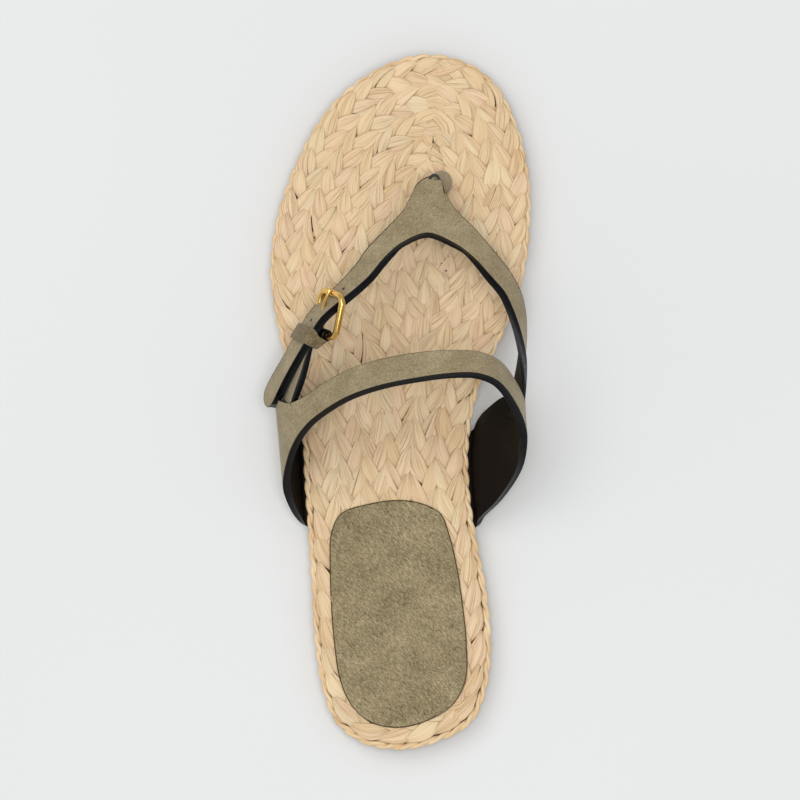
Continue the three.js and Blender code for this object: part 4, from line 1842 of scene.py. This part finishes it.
    def stem(self, bm: BMesh) -> None:
        """Toe stem: a strip rolled into an oval post.

        Args:
            bm: Mesh that takes the piece.
        """
        turns, columns, steps, thickness, lip = 1.45, 44, 3, 1.0, -2.0
        coil_pitch, coil_from = 1.45, 0.45
        rows = (len(self.STEM) - 1) * steps
        curve = SmoothCurve([place(*at) for at, _ in self.STEM])
        sizes = [size for _, size in self.STEM]

        def rolled(row: int, column: int, inward: float) -> Vector:
            """Corner of the rolled strip at a depth inside its face.

            Args:
                row: Row of the grid.
                column: Column of the grid.
                inward: Distance inside the outer face.

            Returns:
                The corner, in millimetres.
            """
            middle, size = curve.at(row / rows), column_at(sizes, row / steps)
            share = column / columns
            angle = lip + 2 * math.pi * turns * share
            coil = coil_pitch * max(0.0, share * turns - coil_from)
            reach_x = (self.stem_width / 2) * size - inward - coil
            reach_y = (self.stem_length / 2) * size - inward - coil
            return middle + Vector((reach_x * math.cos(angle), reach_y * math.sin(angle), 0))

        grids = [
            grid_of(rows, columns, lambda row, column: rolled(row, column, inward))
            for inward in (0.0, thickness)
        ]
        self.repaint(bm, grids, 0.0, Skin.BACK, Skin.FACE)

    def repaint(
        self, bm: BMesh, grids: list[Grid], rounding: float, old: Skin, new: Skin
    ) -> None:
        """Wall between two grids with one of its skins changed.

        Args:
            bm: Mesh that takes the wall.
            grids: Outer face and back.
            rounding: Bevel of its edges.
            old: Skin that is changed.
            new: Skin that takes its place.
        """
        known = set(bm.faces)
        wall(bm, *grids, rounding)
        for face in bm.faces:
            if face not in known and face.material_index == old:
                face.material_index = new

    def punches(self, bm: BMesh) -> None:
        """Punched holes of the strap, as near-black discs set into its face: painted shade for the depth of
        the holes.

        Args:
            bm: Mesh that takes the piece.
        """
        for station in self.PUNCHES:
            here = STRAP.at(station)
            turn = Matrix((here.along, here.across, here.out)).transposed().to_4x4()
            spot = Matrix.Translation(here.point(0, self.PUNCH_RISE)) @ turn
            made = bmesh.ops.create_cone(
                bm, cap_ends=True, segments=16, radius1=self.punch / 2, radius2=self.punch / 2,
                depth=self.PUNCH_RISE * 2, matrix=spot,
            )["verts"]
            # Edge paint on the discs: painted shade inside the holes.
            for face in {face for vert in made for face in vert.link_faces}:
                face.material_index = Skin.EDGE


@dataclass
class Keeper(Piece):
    """Loop of coarse suede round the tab and the strap's free end."""

    length: float = 6.4
    thickness: float = 1.0
    flare: float = 2.0
    tab_depth: float = 1.45
    clearance: float = 1.9
    skew: float = 0.24
    belly: float = 0.16
    squareness: float = 0.32
    rounding: float = 0.35

    def build(self, bm: BMesh) -> None:
        """Rounded loop, softly bellied, shorter underneath where the buckle turns.

        Args:
            bm: Mesh that takes the piece.
        """
        frame_here = STRAP.at(KEEPER_STATION)
        columns, rows = 48, 8

        def corner(row: int, column: int, inward: float) -> Vector:
            """Corner of the loop at a depth inside its face.

            Args:
                row: Row of the grid.
                column: Column of the grid.
                inward: Distance inside the outer face.

            Returns:
                The corner, in millimetres.
            """
            up, out = self.section(column / columns, row / rows, inward)
            under = smoothstep(0.5, -4.0, out)
            offset = lerp(-self.length / 2, self.length / 2 - self.clearance * under, row / rows)
            return frame_here.point(up, out) + frame_here.along * (offset + self.skew * up)

        grids = [
            grid_of(rows, columns, lambda row, column: corner(row, column, inward))
            for inward in (0.0, self.thickness)
        ]
        wall(bm, *grids, self.rounding)

    def section(self, turn: float, share: float, inward: float) -> tuple[float, float]:
        """Point of the loop's section.

        Args:
            turn: Share of the way round, starting under the strap.
            share: Share of the keeper's length.
            inward: Distance inside the outer face.

        Returns:
            Upward across the strap, and outward from its face.
        """
        half = STRAP_WIDTH / 2 + 2 * GAP + self.thickness
        top = GAP + self.thickness
        bottom = -(STRAP_THICKNESS + self.tab_depth + self.flare * share + GAP) - self.thickness
        middle, height = (top + bottom) / 2, (top - bottom) / 2
        angle = 2 * math.pi * turn - math.pi / 2
        belly = self.belly * math.sin(math.pi * share)
        power, across, outward = self.squareness, math.cos(angle), math.sin(angle)
        x = math.copysign(abs(across) ** power, across) * (half - inward + belly * 0.5)
        y = math.copysign(abs(outward) ** power, outward) * (height - inward)
        return x, middle + y + (belly if y > 0 else 0) * (1 - (x / half) ** 2)


@dataclass
class BuckleFrame(Piece):
    """Frame of the buckle: a bar bent into a square ring with round corners."""

    corner: float = 3.2
    corner_steps: int = 8
    flattening: float = 2.6

    def build(self, bm: BMesh) -> None:
        """Ring of round sections, slightly flattened towards the face.

        Args:
            bm: Mesh that takes the piece.
        """
        sides = 14
        half_along = (SEAT.length - SEAT.bar) / 2 - self.corner
        half_across = (SEAT.width - SEAT.bar) / 2 - self.corner
        centre = SEAT.toe_bar.lerp(SEAT.heel_bar, 0.5)
        spots = []
        for quarter in range(4):
            turn = math.pi / 2 * (quarter + 0.5)
            along = math.copysign(half_along, math.cos(turn))
            across = math.copysign(half_across, math.sin(turn))
            for step in range(self.corner_steps + 1):
                angle = math.pi / 2 * (quarter + step / self.corner_steps)
                spots.append((along, across, angle))
        rings = []
        for along, across, angle in spots:
            outward = SEAT.along * math.cos(angle) + SEAT.across * math.sin(angle)
            point = centre + SEAT.along * along + SEAT.across * across + outward * self.corner
            ring = []
            for side in range(sides):
                around = 2 * math.pi * side / sides
                wide, deep = math.cos(around), math.sin(around)
                power = self.flattening
                squared = (abs(wide) ** power + abs(deep) ** power) ** (-1 / power)
                ring.append(point + (outward * wide + SEAT.out * deep) * (SEAT.bar / 2 * squared))
            rings.append(ring)
        count = len(rings)
        faces = patch(bm, count, sides, lambda row, column: rings[row % count][column % sides])
        bmesh.ops.remove_doubles(bm, verts=list({v for f in faces for v in f.verts}), dist=SAME_SPOT)


@dataclass
class BuckleProng(Piece):
    """Prong from the heel bar through the strap's hole onto the toe bar."""

    rise: float = 0.9

    def build(self, bm: BMesh) -> None:
        """Round rod, thicker at the foot and blunt at the tip.

        Args:
            bm: Mesh that takes the piece.
        """
        foot = SEAT.heel_bar - SEAT.along * (SEAT.fold_radius + GAP) - SEAT.across * SEAT.chape_shift
        over_bar = SEAT.toe_bar + SEAT.out * (SEAT.bar / 2 + GAP * 0.3 + SEAT.prong / 2)
        tip = over_bar - SEAT.along * 1.7 - SEAT.out * 0.35
        curve = SmoothCurve([
            foot,
            foot.lerp(over_bar, 0.3) + SEAT.out * self.rise,
            foot.lerp(over_bar, 0.7) + SEAT.out * self.rise,
            over_bar,
            tip,
        ])
        steps = 28
        radii = [lerp(1.1, 0.92, step / steps) * SEAT.prong / 2 for step in range(steps + 1)]
        radii[-1] *= 0.45
        radii[-2] *= 0.85
        tube(bm, [curve.at(step / steps) for step in range(steps + 1)], lambda index: radii[index], 12)


@dataclass
class Studio:
    """Pale floor, soft lights and the camera over the shoe."""

    camera_place: Place = (46.4, -103.0, 1500.0)
    target: Place = (0.0, 0.0, 14.0)
    lens: float = 183.0
    floor_size: float = 6.0
    world_strength: float = 0.53

    def build(self) -> None:
        """Makes everything that isn't the shoe."""
        self.floor()
        self.lights()
        self.camera()

    def floor(self) -> None:
        """Level floor under the sole."""
        bm = bmesh.new()
        bmesh.ops.create_grid(bm, x_segments=2, y_segments=2, size=self.floor_size / 2)
        mesh = bpy.data.meshes.new("studio_floor")
        bm.to_mesh(mesh)
        bm.free()
        mesh.materials.append(StudioFloor("studio_floor").material())
        floor = bpy.data.objects.new("studio_floor", mesh)
        bpy.context.scene.collection.objects.link(floor)

    def lights(self) -> None:
        """Even surroundings and a large soft light from the toe end on the lateral side."""
        scene = bpy.context.scene
        scene.world = bpy.data.worlds.new("studio")
        scene.world.use_nodes = True
        background = scene.world.node_tree.nodes["Background"]
        background.inputs["Color"].default_value = tone(243, 246, 252)
        background.inputs["Strength"].default_value = self.world_strength
        self.softbox("key_light", Vector((-0.8, 0.65, 1.9)), 1.3, 10, (1.0, 0.985, 0.96))
        self.softbox("fill_light", Vector((0.15, -0.2, 2.2)), 0.9, 19, (0.95, 0.97, 1.0))

    def softbox(self, name: str, spot: Vector, size: float, power: float, colour: Place) -> None:
        """Square soft light aimed at the shoe.

        Args:
            name: Name of the light.
            spot: Its place, in metres.
            size: Its side, in metres.
            power: Its power in watts.
            colour: Its colour.
        """
        data = bpy.data.lights.new(name, "AREA")
        data.size, data.energy, data.color = size, power, colour
        light = bpy.data.objects.new(name, data)
        aim = (-spot).to_track_quat("-Z", "Y").to_matrix().to_4x4()
        light.matrix_world = Matrix.Translation(spot) @ aim
        bpy.context.scene.collection.objects.link(light)

    def camera(self) -> None:
        """Camera above the shoe, beside its inner side, with the toe at the top of the picture."""
        data = bpy.data.cameras.new("camera")
        data.lens, data.sensor_width = self.lens, 36
        spot, target = Vector(self.camera_place) * MM, Vector(self.target) * MM
        view = (target - spot).normalized()
        right = view.cross(Vector((0, 1, 0))).normalized()
        top = right.cross(view)
        camera = bpy.data.objects.new("camera", data)
        aim = Matrix((right, top, -view)).transposed().to_4x4()
        camera.matrix_world = Matrix.Translation(spot) @ aim
        bpy.context.scene.collection.objects.link(camera)
        bpy.context.scene.camera = camera
        bpy.context.scene.view_settings.view_transform = "Standard"


def main() -> None:
    """Builds the studio and the pieces, from the ground up."""
    logging.basicConfig(level=logging.INFO, format="%(message)s")
    Studio().build()
    leather = (STRAP_SUEDE, LINING, EDGE_PAINT)
    pieces: list[Piece] = [
        Outsole("walking_sole", "sole", "outsole", (RUBBER, RUBBER, RUBBER)),
        SideWrap("raffia_side", "raffia_side", "midsole", (SIDE_STRAND, SHADED_BED)),
        Footbed("raffia_plaits", "raffia", "footbed", (LEAF, SHADED_BED)),
        RimCord("twisted_rim", "raffia_cord", "rim_cord", (CORD,)),
        HeelPad("suede_pad", "suede", "heel_pad", (PAD_SUEDE, PAD_EDGE_AND_SHADE, PAD_EDGE_AND_SHADE)),
        Upper("suede_upper", "suede", "upper", leather),
        Keeper("suede_keeper", "suede", "keeper", (KEEPER_SUEDE, LINING, KEEPER_SUEDE)),
        BuckleFrame("brass_frame", "brass", "buckle_frame", (BRASS,)),
        BuckleProng("brass_prong", "brass", "buckle_prong", (BRASS,)),
    ]
    for piece in pieces:
        piece.make()


if __name__ == "__main__":
    main()
